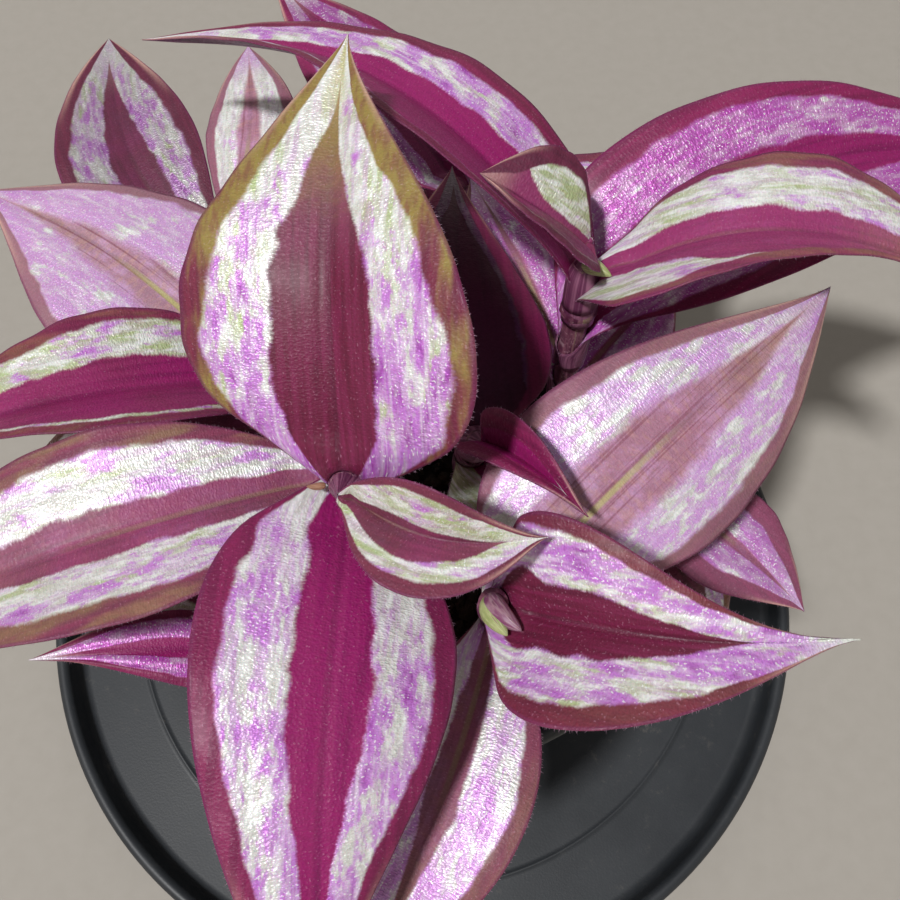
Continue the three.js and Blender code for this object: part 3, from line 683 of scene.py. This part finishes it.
def hair_material():
    shader = Shader("leaf_hair")
    tint = shader.noise(shader.place_here(), 900)
    shader.set(Base_Color=shader.mix(tint, HAIR_DARK, HAIR_LIGHT), Roughness=0.45)
    shader.set(Subsurface_Weight=0.2, Subsurface_Scale=0.2)
    return shader.material


def bud_material(colour):
    shader = Shader(f"bud_{colour}")
    low, high, streak = BUD_COLOURS[colour]
    around, up, seed = shader.attribute("run")
    grain = shader.noise(shader.vector(around * 6, up * 0.5, seed), detail=3)
    tint = shader.mix(grain.fade(0.35, 0.6), low, high).under((grain.fade(0.58, 0.7, 0, 0.7), streak))
    shader.set(Base_Color=tint, Roughness=0.42, Normal=shader.bump(grain, 0.6, 0.0002))
    shader.set(Subsurface_Weight=0.2, Subsurface_Radius=(0.003, 0.002, 0.0012), Subsurface_Scale=0.5)
    return shader.material


def stem_material():
    shader = Shader("stem")
    around, up, seed = shader.attribute("run")
    streaks = shader.noise(shader.vector(around * 3, up * 0.16, seed), detail=4, roughness=0.6)
    fleck = shader.noise(shader.vector(around * 5, up * 2, seed))
    colour = shader.mix(streaks.fade(0.35, 0.62), STEM_DARK, STEM_LIGHT).under(
        (streaks.fade(0.56, 0.72, 0, 0.6), STEM_GREEN),
        (fleck.fade(0.58, 0.7, 0, 0.5), STEM_FLECK))
    shader.set(Base_Color=colour, Roughness=streaks.fade(0.3, 0.7, 0.4, 0.55),
               Normal=shader.bump(streaks + fleck * 0.4, 0.6, 0.0002))
    shader.set(Subsurface_Weight=0.15, Subsurface_Radius=(0.003, 0.001, 0.0015), Subsurface_Scale=0.5)
    return shader.material


def soil_material():
    shader = Shader("soil")
    here = shader.place_here()
    coarse = shader.noise(here, 260, detail=6, roughness=0.65)
    fine = shader.noise(here, 1500, detail=4, roughness=0.7)
    colour = shader.mix(coarse.fade(0.36, 0.66), PEAT_DARK, PEAT_LIGHT).under(
        (fine.fade(0.6, 0.75, 0, 0.7), BARK))
    shader.set(Base_Color=colour, Roughness=coarse.fade(0.3, 0.7, 0.72, 0.95),
               Normal=shader.bump(coarse * 0.7 + fine * 0.5, 0.9, 0.0006))
    return shader.material


def plastic_material(name, scuff):
    shader = Shader(name)
    here = shader.place_here()
    grain = shader.noise(here, 2600)
    cloud = shader.noise(here, 34, detail=5, roughness=0.6)
    marks = shader.noise(here, 420, detail=5, roughness=0.75)
    dust = marks.fade(0.56, 0.78) * cloud.fade(0.42, 0.66)
    colour = shader.mix(cloud.fade(0.3, 0.7), PLASTIC_DARK, PLASTIC_LIGHT).under((dust * scuff, DUST))
    shader.set(Base_Color=colour, Roughness=cloud.fade(0.3, 0.7, 0.44, 0.54) + dust * 0.2,
               Normal=shader.bump(grain * 0.5 + marks * 0.25, 0.35, 0.0001))
    return shader.material


def floor_material():
    shader = Shader("floor")
    grain = shader.noise(shader.place_here(), 300, detail=3)
    shader.set(Base_Color=shader.mix(grain, FLOOR_DARK, FLOOR_LIGHT), Roughness=0.85)
    return shader.material


# Stems

STEM_SIDES = 18
STEM_ROWS = 90
STEM_SEED = 3.7
PLAIN_STEM = 0.9
NODE_SWELL = 0.2
NODE_LENGTH = 1.3
NODE_BELOW_LEAF = 5.5
STEM_END = 0.985
RIDGES = 6
RIDGE_HEIGHT = 0.025


class Path:
    """A stem's centre line: straight up out of the soil, then bent over to the shoot's head."""

    def __init__(self, shoot):
        foot, head = SHOOTS[shoot]
        lift = SOIL_TOP + 3
        bottom = np.array((*foot, SOIL_TOP - STEM_DEPTH), dtype=float)
        start = np.array((*foot, lift), dtype=float)
        bend = np.array((*foot, lift + (head[2] - lift) * 0.6))
        t = np.linspace(0, 1, 200)[:, None]
        curve = (1 - t) ** 2 * start + 2 * t * (1 - t) * bend + t ** 2 * np.array(head, dtype=float)
        line = bottom + (start - bottom) * np.linspace(0, 1, 20)[:-1, None]
        self.points = np.vstack([line, curve])
        steps = np.linalg.norm(np.diff(self.points, axis=0), axis=1)
        self.length = steps.sum()
        self.shares = np.concatenate([[0], np.cumsum(steps)]) / self.length

    def at(self, share):
        return interpolate(np.atleast_1d(share), self.shares, self.points)

    def along(self, share, step=0.004):
        share = np.atleast_1d(share)
        return unit(self.at(np.minimum(share + step, 1)) - self.at(np.maximum(share - step, 0)))


def stem_piece(shoot, material):
    """A round stem, thicker at its nodes, with a rounded end under the youngest leaf."""
    path = Path(shoot)
    shares = np.linspace(0, 1, STEM_ROWS)
    centres = path.at(shares)
    forward = path.along(shares)
    radius = np.full(STEM_ROWS, STEM_RADIUS * PLAIN_STEM)
    for form in LEAVES.values():
        if form["shoot"] == shoot:
            above_swelling = (shares - form["at"]) * path.length + NODE_BELOW_LEAF
            radius += STEM_RADIUS * NODE_SWELL * np.exp(-(above_swelling / NODE_LENGTH) ** 2)
    radius *= 1 - 0.9 * smooth_step((shares - STEM_END) / (1 - STEM_END)) ** 2
    angles = round_angles(STEM_SIDES)
    ridges = 1 + RIDGE_HEIGHT * np.cos(angles * RIDGES)
    end = centres[-1] + forward[-1] * 0.2
    points, faces = tube(centres, forward, radius[:, None] * ridges, centres[0], end)
    wave = np.cos(angles) + np.sin(angles * 2) * 0.3
    run = tube_run(wave, shares * path.length, path.length, STEM_SEED * list(SHOOTS).index(shoot))
    piece = add_object(f"stem_{shoot}_fine", points, faces, [material], layers={"run": run})
    place(piece, "stem", f"stem_{shoot}")


# Leaves

SHEATH_ROWS = 9
JOIN_ROWS = 7
JOIN_SHARE = 0.07
BLADE_ROWS = 64
BLADE_COLUMNS = 35
BLADE_END = 0.994
SHEATH_THICKNESS = 0.34
LEAF_SEED = 11.3

# A sheath on the side of the stem, and one that closes over the stem's head. The wraps are degrees
# to either side of the leaf's middle, of the closed sheath and of how far its mouth opens.
SIDE_WRAP = 177
SIDE_MOUTH = 60
SIDE_RADIUS = 1.98
SIDE_BULGE = 0.14
SIDE_SLANT = 3
HEAD_WRAP = 179
HEAD_MOUTH = 40
HEAD_RADIUS = 2.15
HEAD_TIP_RADIUS = 0.1
HEAD_RISE = 1.5
SHEATH_HALF_MM = 4.5


def outline(s, swell, taper):
    """Half the width of a blade at s, from its base to its tip, as a share of its widest half."""
    widest = swell / (swell + taper)
    peak = widest ** swell * (1 - widest) ** taper
    return s ** swell * (1 - s) ** taper / peak


class Blade:
    """The middle surface of a leaf, as in the part's source, with a sheath that clasps the stem."""

    def __init__(self, form):
        self.form = form
        path = Path(form["shoot"])
        up = np.array((0.0, 0.0, 1.0))
        self.tip = np.array(form["tip"], dtype=float)
        self.node = path.at(form["at"])[0]
        self.axis = path.along(form["at"])[0]
        outward = self.tip - self.node
        outward = outward + math.pi * form["sway"] * np.cross(up, outward)
        self.outward = unit(outward - self.axis * outward.dot(self.axis))
        self.ends = form["at"] >= 0.999
        if self.ends:
            self.base = self.node + self.axis * (GAP + 0.7)
        else:
            self.base = self.node + self.outward * (SHEATH_RADIUS + GAP + 0.1)
        self.chord = self.tip - self.base
        self.length = np.linalg.norm(self.chord)
        self.left = unit(np.cross(up, self.chord))
        self.rise = np.cross(unit(self.chord), self.left)

    def rib(self, s):
        arch = self.form["arch"] * self.length * np.sin(math.pi * np.maximum(s, 0) ** 0.8)
        sway = self.form["sway"] * self.length * np.sin(math.pi * s)
        return self.base + self.chord * s + self.rise * arch + self.left * sway

    def surface(self, s, v):
        """Points at shares s along (rows) and v across (columns), and their millimetres across."""
        form = self.form
        s = s[:, None]
        v = v[None]
        forward = unit(self.rib(np.minimum(s + 0.01, 1)) - self.rib(np.maximum(s - 0.01, 0)))
        side = unit(self.left - forward * (forward @ self.left)[:, None])
        roll = math.radians(form["roll"])
        side = side * math.cos(roll) + np.cross(forward, side) * math.sin(roll)
        face = np.cross(forward, side)

        right = v < 0
        swell = np.where(right, form["swell_right"] or form["swell"], form["swell"])
        taper = np.where(right, form["taper_right"] or form["taper"], form["taper"])
        half = np.hypot(form["width"] / 2 * outline(s, swell, taper), BASE_HALF_WIDTH * (1 - s) ** 6)
        across = np.abs(v)
        across_mm = half * v
        bulge = np.sin(math.pi * s)
        start = np.where(right, RIPPLE_START_RIGHT, RIPPLE_START)
        ripple = form["wave"] * np.sin(2 * math.pi * (RIPPLES * s + start)) * bulge
        flutter = FLUTTER * np.sin(2 * math.pi * (FLUTTERS * s + start * 3)) * bulge
        lean = np.radians(form["fold"] + (form["cup"] + form["curl_right"] * right) * across / 2)
        channel = -CHANNEL_DEPTH * np.exp(-(across_mm / CHANNEL_WIDTH) ** 2) * (1 - s ** 4)
        pleats = PLEAT_DEPTH * np.cos(2 * math.pi * PLEATS * across) * bulge
        lift = half * (across * np.sin(lean) + across ** 2 * (ripple + flutter)) + channel + pleats
        outward = (across_mm * np.cos(lean))[..., None] * side[:, None]
        return self.rib(s)[:, None] + outward + lift[..., None] * face[:, None], across_mm

    def sheath(self, level, v):
        """Rings round the stem: level 0 is the sheath's foot, 1 its mouth, and more flares out."""
        level = level[:, None, None]
        v = v[None, :, None]
        across = np.cross(self.axis, self.outward)
        open_up = smooth_step((level - 0.45) / 0.75)
        if self.ends:
            opening = np.radians(HEAD_WRAP - HEAD_MOUTH * smooth_step((level - 0.95) / 0.5))
            radius = HEAD_RADIUS - (HEAD_RADIUS - HEAD_TIP_RADIUS) * open_up
            height = (SHEATH_LENGTH + HEAD_RISE) * level - SHEATH_LENGTH
        else:
            opening = np.radians(SIDE_WRAP - SIDE_MOUTH * open_up)
            radius = SIDE_RADIUS + SIDE_BULGE * np.sin(math.pi * np.clip(level, 0, 1))
            slant = SIDE_SLANT * v ** 2 * smooth_step((level - 0.3) / 0.7)
            height = SHEATH_LENGTH * (level - 1) - slant
        centre = self.node + self.axis * height
        return centre + radius * (np.cos(opening * v) * self.outward + np.sin(opening * v) * across)


def leaf_grid(blade):
    """Middle points from the sheath's foot to near the tip, with their shares and millimetres."""
    u = np.linspace(-1, 1, BLADE_COLUMNS)
    v = np.sign(u) * (1 - (1 - np.abs(u)) ** 1.25)
    levels = np.linspace(0, 1, SHEATH_ROWS)
    w = np.linspace(0, 1, JOIN_ROWS + 2)[1:-1]
    share = smooth_step(w)[:, None]
    opened, opened_mm = blade.surface(JOIN_SHARE * w, v)
    closed = blade.sheath(1 + 0.5 * w, v)
    s = JOIN_SHARE + (BLADE_END - JOIN_SHARE) * np.linspace(0, 1, BLADE_ROWS) ** 0.95
    open_blade, across_mm = blade.surface(s, v)
    join = closed + (opened - closed) * share[..., None]
    points = np.concatenate([blade.sheath(levels, v), join, open_blade])
    ring_mm = np.tile(v * SHEATH_HALF_MM, (SHEATH_ROWS, 1))
    join_mm = (1 - share) * v * SHEATH_HALF_MM + share * opened_mm
    across = np.concatenate([ring_mm, join_mm, across_mm])
    along = np.concatenate([(levels - 1) * 0.12, JOIN_SHARE * w, s])
    return points, across, along, v


def face_normals(points):
    down = np.gradient(points, axis=0)
    over = np.gradient(points, axis=1)
    return unit(np.cross(down, over) + 1e-12)


# The plain course of the lines: share along, what multiplies the stripe and what widens the margin
PLAIN_COURSE = (
    (0, 1.8, -0.2), (0.12, 1.05, 0), (0.5, 1, 0), (0.76, 0.5, 0.1), (0.9, 0, 0.2), (1, -0.3, 0.25),
)


def stripe_lines(paint, along, v):
    """For each point of the blade, where the stripe ends, where the margin band starts, and the lean."""
    if paint["lines"]:
        where, margin_left, stripe_left, stripe_right, margin_right = np.array(paint["lines"]).T
    else:
        where, wider, less = np.array(PLAIN_COURSE).T
        stripe_left = stripe_right = paint["centre"] * wider
        margin_left = margin_right = paint["margin"] - less
    left = smooth_step(v * 20 + 0.5)

    def course(on_left, on_right):
        return (np.interp(along, where, on_right)[:, None] * (1 - left)
                + np.interp(along, where, on_left)[:, None] * left)

    return vectors_of(course(stripe_left, stripe_right), course(margin_left, margin_right), paint["lean"])


def blade_faces(rows, columns):
    """Faces and material slots of a blade: its upper grid, its lower grid, and then its tip."""
    count = rows * columns
    tip = 2 * count
    top = grid_faces(rows, columns)
    faces = [tuple(reversed(face)) for face in top]
    faces += [tuple(index + count for index in face) for face in top]
    slots = [0] * len(top) + [1] * len(top)
    for row in range(rows - 1):
        here = row * columns
        below = here + columns
        last = columns - 1
        faces.append((below, here, here + count, below + count))
        faces.append((here + last, below + last, below + last + count, here + last + count))
        slots += [0, 0]
    end = (rows - 1) * columns
    for column in range(columns - 1):
        faces.append((column, column + 1, column + 1 + count, column + count))
        faces.append((end + column + 1, end + column, tip))
        faces.append((end + column + count, end + column + 1 + count, tip))
        slots += [1, 0, 1]
    faces.append((end, end + count, tip))
    faces.append((end + columns - 1 + count, end + columns - 1, tip))
    return faces, slots + [0, 0]


def leaf_piece(name, form, paint, materials, seed):
    """A closed blade with thin margins, its sheath, and the numbers that its colours read."""
    blade = Blade(form)
    points, across, along, v = leaf_grid(blade)
    normals = face_normals(points)
    down = along[:, None]
    full = SHEATH_THICKNESS + (BLADE_THICKNESS - SHEATH_THICKNESS) * np.clip((down + 0.02) / 0.1, 0, 1)
    thick = MARGIN_THICKNESS + (full - MARGIN_THICKNESS) * (1 - np.abs(v) ** 5)
    half = (thick * np.clip((1.02 - down) / 0.12, 0.25, 1) / 2)[..., None]
    sides = [(points + normals * half).reshape(-1, 3), (points - normals * half).reshape(-1, 3)]
    faces, slots = blade_faces(*across.shape)
    shares = vectors_of(v, down, 0)
    spans = vectors_of(across, down * blade.length, seed)
    lines = stripe_lines(paint, along, v)
    total = 2 * across.size + 1
    layers = {
        "blade": np.vstack([shares, shares, (0, 1, 0)]),
        "span": np.vstack([spans, spans, (0, blade.length, seed)]),
        "stripe": np.vstack([lines, lines, lines[-1:]]),
        "tone": np.tile([paint["lilac"], paint["green"], paint["magenta"]], (total, 1)),
        "wash_and_shade": np.tile([paint["olive"], paint["pale"], paint["painted_shade"]], (total, 1)),
    }
    vertices = np.vstack([*sides, blade.tip])
    piece = add_object(f"{name}_fine", vertices, faces, materials, slots, layers=layers)
    place(piece, "leaf", name)
    return points, normals, along


HAIR_SPACING = 0.36
HAIR_LENGTH = 0.32
HAIR_RADIUS = 0.02
HAIR_DROOP = 0.12
HAIR_SIDES = 3


def hair_spikes(roots, directions, lengths, rng):
    """Three-sided spikes, each a closed little cone."""
    directions = unit(directions)
    helper = np.where(np.abs(directions[:, 2:3]) > 0.9, [[1.0, 0, 0]], [[0, 0, 1.0]])
    across = unit(np.cross(directions, helper))
    beside = np.cross(directions, across)
    corners = [roots + HAIR_RADIUS * (math.cos(angle) * across + math.sin(angle) * beside)
               for angle in round_angles(HAIR_SIDES)]
    droop = rng.normal(0, HAIR_DROOP, roots.shape) * lengths[:, None]
    tips = roots + directions * lengths[:, None] + droop
    points = np.stack([*corners, tips], axis=1).reshape(-1, 3)
    faces = []
    for a in range(0, len(points), HAIR_SIDES + 1):
        faces += [(a, a + 2, a + 1), (a, a + 1, a + 3), (a + 1, a + 2, a + 3), (a + 2, a, a + 3)]
    return points, faces


def margin_hairs(points, normals, along, rng):
    """Roots, directions and lengths of the hairs along both margins of a leaf."""
    roots = []
    directions = []
    lengths = []
    start = int(np.argmax(along > -0.09))
    for edge, inner in ((0, 2), (-1, -3)):
        line = points[start:-1, edge]
        outward = unit(line - points[start:-1, inner])
        steps = np.concatenate([[0], np.cumsum(np.linalg.norm(np.diff(line, axis=0), axis=1))])
        count = max(int(steps[-1] / HAIR_SPACING), 2)
        where = np.sort(rng.uniform(0, steps[-1], count))
        roots.append(interpolate(where, steps, line))
        way = interpolate(where, steps, outward)
        face = interpolate(where, steps, normals[start:-1, edge])
        directions.append(way + face * rng.normal(0.15, 0.3, (count, 1)) + rng.normal(0, 0.25, (count, 3)))
        share = np.interp(where, steps, along[start:-1])
        long_at_base = 1 + 0.9 * np.exp(-np.maximum(share, 0) / 0.05)
        lengths.append(HAIR_LENGTH * long_at_base * rng.uniform(0.55, 1.2, count))
    return np.vstack(roots), np.vstack(directions), np.concatenate(lengths)


PAINT_SEED = 8
PAINT_WANDER = 0.18
PAINT_REACH = 1.6


def build_leaves():
    """All the leaves, each a bit off the plain paint unless its own says otherwise, and their hairs."""
    materials = [upper_material(), under_material()]
    rng = np.random.default_rng(PAINT_SEED)
    hairs = []
    for index, (name, form) in enumerate(LEAVES.items()):
        paint = dict(PLAIN_PAINT)
        for key in ("lilac", "green", "magenta", "olive"):
            change = rng.uniform(-PAINT_WANDER, PAINT_WANDER) * PAINT_REACH
            paint[key] = min(max(paint[key] + change, 0), 1)
        paint.update(PAINT.get(name, {}))
        points, normals, along = leaf_piece(name, form, paint, materials, LEAF_SEED * index)
        hairs.append(margin_hairs(points, normals, along, rng))
    points, faces = hair_spikes(*(np.concatenate(columns) for columns in zip(*hairs)), rng)
    piece = add_object("leaf_hairs", points, faces, [hair_material()], smooth=False)
    place(piece, "leaf")


BUD_SIDES = 16
BUD_ROWS = 22
BUD_FATNESS = 0.408
BUD_BEND = 0.12
BUD_SEED = 5.1


def build_buds():
    """Pointed little buds, a bit curved, with a seam where their scale overlaps."""
    materials = {colour: bud_material(colour) for colour in BUD_COLOURS}
    angles = round_angles(BUD_SIDES)
    s = np.linspace(0.02, 0.98, BUD_ROWS)
    seam = 1 + 0.1 * np.exp(-((angles - 2 - 2.2 * s[:, None]) / 0.3) ** 2)
    for index, (name, (shoot, at, start, look, length, colour)) in enumerate(BUDS.items()):
        forward = unit(look)
        root = Path(shoot).at(at)[0] + forward * start
        bend = BUD_BEND * length * np.sin(math.pi * s)
        centres = root + np.outer(length * s, forward) + np.outer(bend, sideways(forward))
        radius = length * BUD_FATNESS * s ** 0.35 * (1 - s) ** 0.75
        points, faces = tube(centres, forward, radius[:, None] * seam, root, root + forward * length)
        run = tube_run(np.cos(angles), length * s, length, BUD_SEED * index)
        place(add_object(name, points, faces, [materials[colour]], layers={"run": run}), "leaf")


# Soil

SOIL_SIDES = 168
SOIL_RINGS = 44
LUMP_SCALE = 0.22
LUMP_HEIGHT = 0.9
LUMP_SINK = 0.4
CRUMB_COUNT = 1500
CRUMB_SEED = 21
BARK_CHANCE = 0.14


def soil_height(radius):
    reach = POT_RIM_RADIUS - POT_WALL
    return SOIL_TOP + SOIL_CROWN * (1 - (radius / reach) ** 2)


def soil_point(radius, angle):
    """A point of the lumpy surface of the soil."""
    x = radius * math.cos(angle)
    y = radius * math.sin(angle)
    lump = noise.fractal(Vector((x * LUMP_SCALE, y * LUMP_SCALE, 1.7)), 0.9, 2.1, 5)
    return x, y, soil_height(radius) + LUMP_HEIGHT * lump - LUMP_SINK


def crumbs(reach):
    """Small angular lumps of peat and bark on the soil, each a squeezed icosahedron."""
    rng = np.random.default_rng(CRUMB_SEED)
    golden = (1 + 5 ** 0.5) / 2
    corners = unit([np.roll((side, long, 0), axis)
                    for axis in range(3) for long in (golden, -golden) for side in (-1, 1)])
    triangles = [(0, 11, 5), (0, 5, 1), (0, 1, 7), (0, 7, 10), (0, 10, 11), (1, 5, 9), (5, 11, 4),
                 (11, 10, 2), (10, 7, 6), (7, 1, 8), (3, 9, 4), (3, 4, 2), (3, 2, 6), (3, 6, 8),
                 (3, 8, 9), (4, 9, 5), (2, 4, 11), (6, 2, 10), (8, 6, 7), (9, 8, 1)]
    points = []
    faces = []
    for index in range(CRUMB_COUNT):
        size = rng.gamma(3.0, 0.26) + 0.25
        shape = np.array([1, rng.uniform(0.5, 1), rng.uniform(0.35, 0.9)])
        if rng.random() < BARK_CHANCE:
            shape = np.array([rng.uniform(2, 3.4), 0.5, 0.4])
        lump = corners * rng.uniform(0.75, 1.25, (12, 1)) * size * shape
        turn = np.linalg.qr(rng.normal(size=(3, 3)))[0]
        turn *= np.sign(np.linalg.det(turn))
        angle = rng.uniform(0, 2 * math.pi)
        radius = reach * math.sqrt(rng.random())
        centre = (radius * math.cos(angle), radius * math.sin(angle), soil_height(radius) + size * 0.3)
        points.append(lump @ turn.T + centre)
        faces += [tuple(index * 12 + corner for corner in triangle) for triangle in triangles]
    return np.vstack(points), faces


def build_soil():
    material = soil_material()
    floor = POT_BASE + POT_RECESS + POT_WALL
    top = POT_RIM_RADIUS - POT_WALL - 0.6
    low = pot_radius(floor - POT_BASE) - POT_WALL
    reach = low + (top - low) * (SOIL_TOP - floor) / (POT_TOP - 1 - floor) - GAP
    angles = round_angles(SOIL_SIDES)
    wall = [(low - GAP, floor), ((low + reach) / 2, (floor + SOIL_TOP) / 2)]
    rings = [[(radius * math.cos(a), radius * math.sin(a), height) for a in angles]
             for radius, height in wall]
    rings += [[soil_point(radius, a) for a in angles]
              for radius in reach * np.linspace(1, 0, SOIL_RINGS)[:-1]]
    points, faces = close_rings(np.array(rings), (0, 0, floor), (0, 0, soil_height(0)))
    place(add_object("soil_fine", points, faces, [material]), "soil", "soil")
    lumps, lump_faces = crumbs(reach - 1.4)
    place(add_object("soil_crumbs", lumps, lump_faces, [material], smooth=False), "soil")


# Pot and saucer

POT_SIDES = 160
POT_FOOT_WIDTH = 5.4
DRILL_SIDES = 40
SOFT_EDGE = 0.6
FOOT_EDGE = 1.6
RIM_EDGE = 1.5
SAUCER_SIDES = 200
SAUCER_RECESS = 0.6
SAUCER_FOOT_WIDTH = 6
SAUCER_RINGS = (61, 37)


def pot_radius(height):
    """Radius of the pot's tapered outside at a height above its foot."""
    body_top = POT_RIM_RADIUS - POT_COLLAR_STEP
    return POT_FOOT_RADIUS + (body_top - POT_FOOT_RADIUS) * height / POT_HEIGHT


def drain_hole(pot, angle):
    """Cuts one round hole through the pot's floor."""
    bottom = POT_BASE - 1
    top = POT_BASE + POT_RECESS + POT_WALL + 1
    points, faces = lathe([(0, bottom), (DRAIN_RADIUS, bottom), (DRAIN_RADIUS, top), (0, top)], DRILL_SIDES)
    place_at = (DRAIN_CIRCLE * math.cos(angle), DRAIN_CIRCLE * math.sin(angle), 0)
    drill = add_object("drill", points + place_at, faces, [])
    cut = pot.modifiers.new("drain", "BOOLEAN")
    cut.operation = "DIFFERENCE"
    cut.object = drill
    bpy.context.view_layer.objects.active = pot
    bpy.ops.object.modifier_apply(modifier=cut.name)
    bpy.data.objects.remove(drill)


def build_pot():
    collar = POT_TOP - POT_COLLAR_HEIGHT
    recess = POT_BASE + POT_RECESS
    floor = recess + POT_WALL
    inside = POT_RIM_RADIUS - POT_WALL
    slope = math.degrees(math.atan2(pot_radius(POT_HEIGHT) - POT_FOOT_RADIUS, POT_HEIGHT))
    waist = pot_radius(collar - POT_BASE)
    foot = POT_FOOT_RADIUS - POT_FOOT_WIDTH
    profile = [
        (0, recess),
        *arc((foot - 1, recess - SOFT_EDGE), SOFT_EDGE, 90, 20, 5),
        *arc((foot + 1, POT_BASE + SOFT_EDGE), SOFT_EDGE, 200, 270, 5),
        *arc((pot_radius(2) - FOOT_EDGE, POT_BASE + FOOT_EDGE), FOOT_EDGE, 270, 360 - slope, 8),
        (pot_radius(20), POT_BASE + 20),
        (pot_radius(36), POT_BASE + 36),
        (waist - 0.05, collar - 0.9),
        *arc((waist + SOFT_EDGE, collar - 0.5), SOFT_EDGE, 180, 110, 4),
        *arc((waist + POT_COLLAR_STEP - SOFT_EDGE, collar + 0.4), SOFT_EDGE, -70, -slope, 5),
        (POT_RIM_RADIUS - 0.25, POT_TOP - 3.4),
        *arc((POT_RIM_RADIUS - RIM_EDGE, POT_TOP - RIM_EDGE), RIM_EDGE, -slope, 90, 8),
        *arc((inside + 1.3, POT_TOP - RIM_EDGE), RIM_EDGE, 90, 180, 8),
        (inside - 0.6, POT_TOP - 6),
        (pot_radius(30) - POT_WALL, POT_BASE + 30),
        *arc((pot_radius(floor - POT_BASE) - POT_WALL - 1, floor + 1), 1, 0, -90, 5),
        (0, floor),
    ]
    points, faces = lathe(profile, POT_SIDES)
    pot = add_object("pot_fine", points, faces, [plastic_material("pot_plastic", 0.3)])
    for index in range(DRAIN_COUNT):
        drain_hole(pot, (index + 0.5) / DRAIN_COUNT * 2 * math.pi)
    place(pot, "pot", "pot")


def build_saucer():
    inner = SAUCER_RADIUS - SAUCER_LIP
    edge = SAUCER_LIP / 2
    foot = SAUCER_FOOT_RADIUS
    profile = [
        (0, SAUCER_RECESS),
        (foot - SAUCER_FOOT_WIDTH, SAUCER_RECESS),
        (foot - SAUCER_FOOT_WIDTH + SAUCER_RECESS, 0),
        (foot - 0.6, 0),
        *arc((foot - 0.4, 1.2), 1.2, 270, 330, 5),
        (SAUCER_RADIUS - 1.8, SAUCER_HEIGHT * 0.42),
        (SAUCER_RADIUS - 0.4, SAUCER_HEIGHT * 0.62),
        *arc((SAUCER_RADIUS - edge, SAUCER_HEIGHT - edge), edge, 0, 180, 14),
        *arc((inner - 2.6, SAUCER_FLOOR + 2.2), 2.2, -15, -90, 8),
    ]
    for ring in SAUCER_RINGS:
        profile += [
            (ring + 1, SAUCER_FLOOR),
            *arc((ring, SAUCER_FLOOR - 0.3), 0.5, 37, 143, 5),
            (ring - 1, SAUCER_FLOOR),
        ]
    profile.append((0, SAUCER_FLOOR))
    points, faces = lathe(profile, SAUCER_SIDES)
    material = plastic_material("saucer_plastic", 0.5)
    place(add_object("saucer_fine", points, faces, [material]), "saucer", "saucer")


# Stage, in metres but for the floor

FLOOR_SIDES = 96
FLOOR_RADIUS = 1200
FLOOR_BEND = 900
BACKDROP_HEIGHT = 2600
WORLD_COLOUR = (0.86, 0.9, 1.0, 1)
WORLD_STRENGTH = 0.13

# Each light: where it hangs, its width and its watts. All look at one point of the plant.
LIGHTS = {
    "key": ((-0.8, -0.69, 2.3), 0.2, 52),
    "fill": ((1.5, -1.1, 1.2), 1.6, 2.8),
    "back": ((0.2, 1.9, 1.4), 1.4, 4.2),
}
LIGHT_AIM = (0, 0, 0.08)

# The camera that fits the photograph; its side and focal length are in pixels
CAMERA_PLACE = (0.0057, -0.0532, 0.1904)
CAMERA_TILT = 24
CAMERA_NEAR = 0.005
SENSOR_WIDTH = 36
PHOTO_SIDE = 900
PHOTO_FOCUS = 883


def build_floor():
    """A round floor that bends up all round into a backdrop."""
    angles = round_angles(FLOOR_SIDES)
    rings = [(radius, 0) for radius in (60, 200, 600, FLOOR_RADIUS)]
    rings += [(FLOOR_RADIUS + FLOOR_BEND * math.sin(a), FLOOR_BEND * (1 - math.cos(a)))
              for a in np.radians(np.arange(9, 91, 9))]
    rings.append((FLOOR_RADIUS + FLOOR_BEND, BACKDROP_HEIGHT))
    points = [(radius * math.cos(a), radius * math.sin(a), height)
              for radius, height in rings for a in angles]
    faces = [tuple(range(FLOOR_SIDES)), *grid_faces(len(rings), FLOOR_SIDES, wrap=True)]
    floor = add_object("floor", points, faces, [floor_material()])


def build_lights():
    world = bpy.data.worlds.new("studio")
    world.use_nodes = True
    background = world.node_tree.nodes["Background"].inputs
    background["Color"].default_value = WORLD_COLOUR
    background["Strength"].default_value = WORLD_STRENGTH
    bpy.context.scene.world = world
    for name, (place_at, width, power) in LIGHTS.items():
        light = bpy.data.lights.new(name, "AREA")
        light.shape = "DISK"
        light.size = width
        light.energy = power
        lamp = bpy.data.objects.new(name, light)
        lamp.location = place_at
        aim = Vector(LIGHT_AIM) - Vector(place_at)
        lamp.rotation_euler = aim.to_track_quat("-Z", "Y").to_euler()
        bpy.context.collection.objects.link(lamp)


def build_camera():
    lens = bpy.data.cameras.new("camera")
    lens.sensor_width = SENSOR_WIDTH
    lens.lens = PHOTO_FOCUS / PHOTO_SIDE * SENSOR_WIDTH
    lens.clip_start = CAMERA_NEAR
    camera = bpy.data.objects.new("camera", lens)
    camera.location = CAMERA_PLACE
    camera.rotation_euler = (math.radians(CAMERA_TILT), 0, 0)
    bpy.context.collection.objects.link(camera)
    bpy.context.scene.camera = camera
    bpy.context.scene.view_settings.view_transform = "Standard"


build_floor()
build_lights()
build_camera()
build_saucer()
build_pot()
build_soil()
stems = stem_material()
for shoot in SHOOTS:
    stem_piece(shoot, stems)
build_leaves()
build_buds()
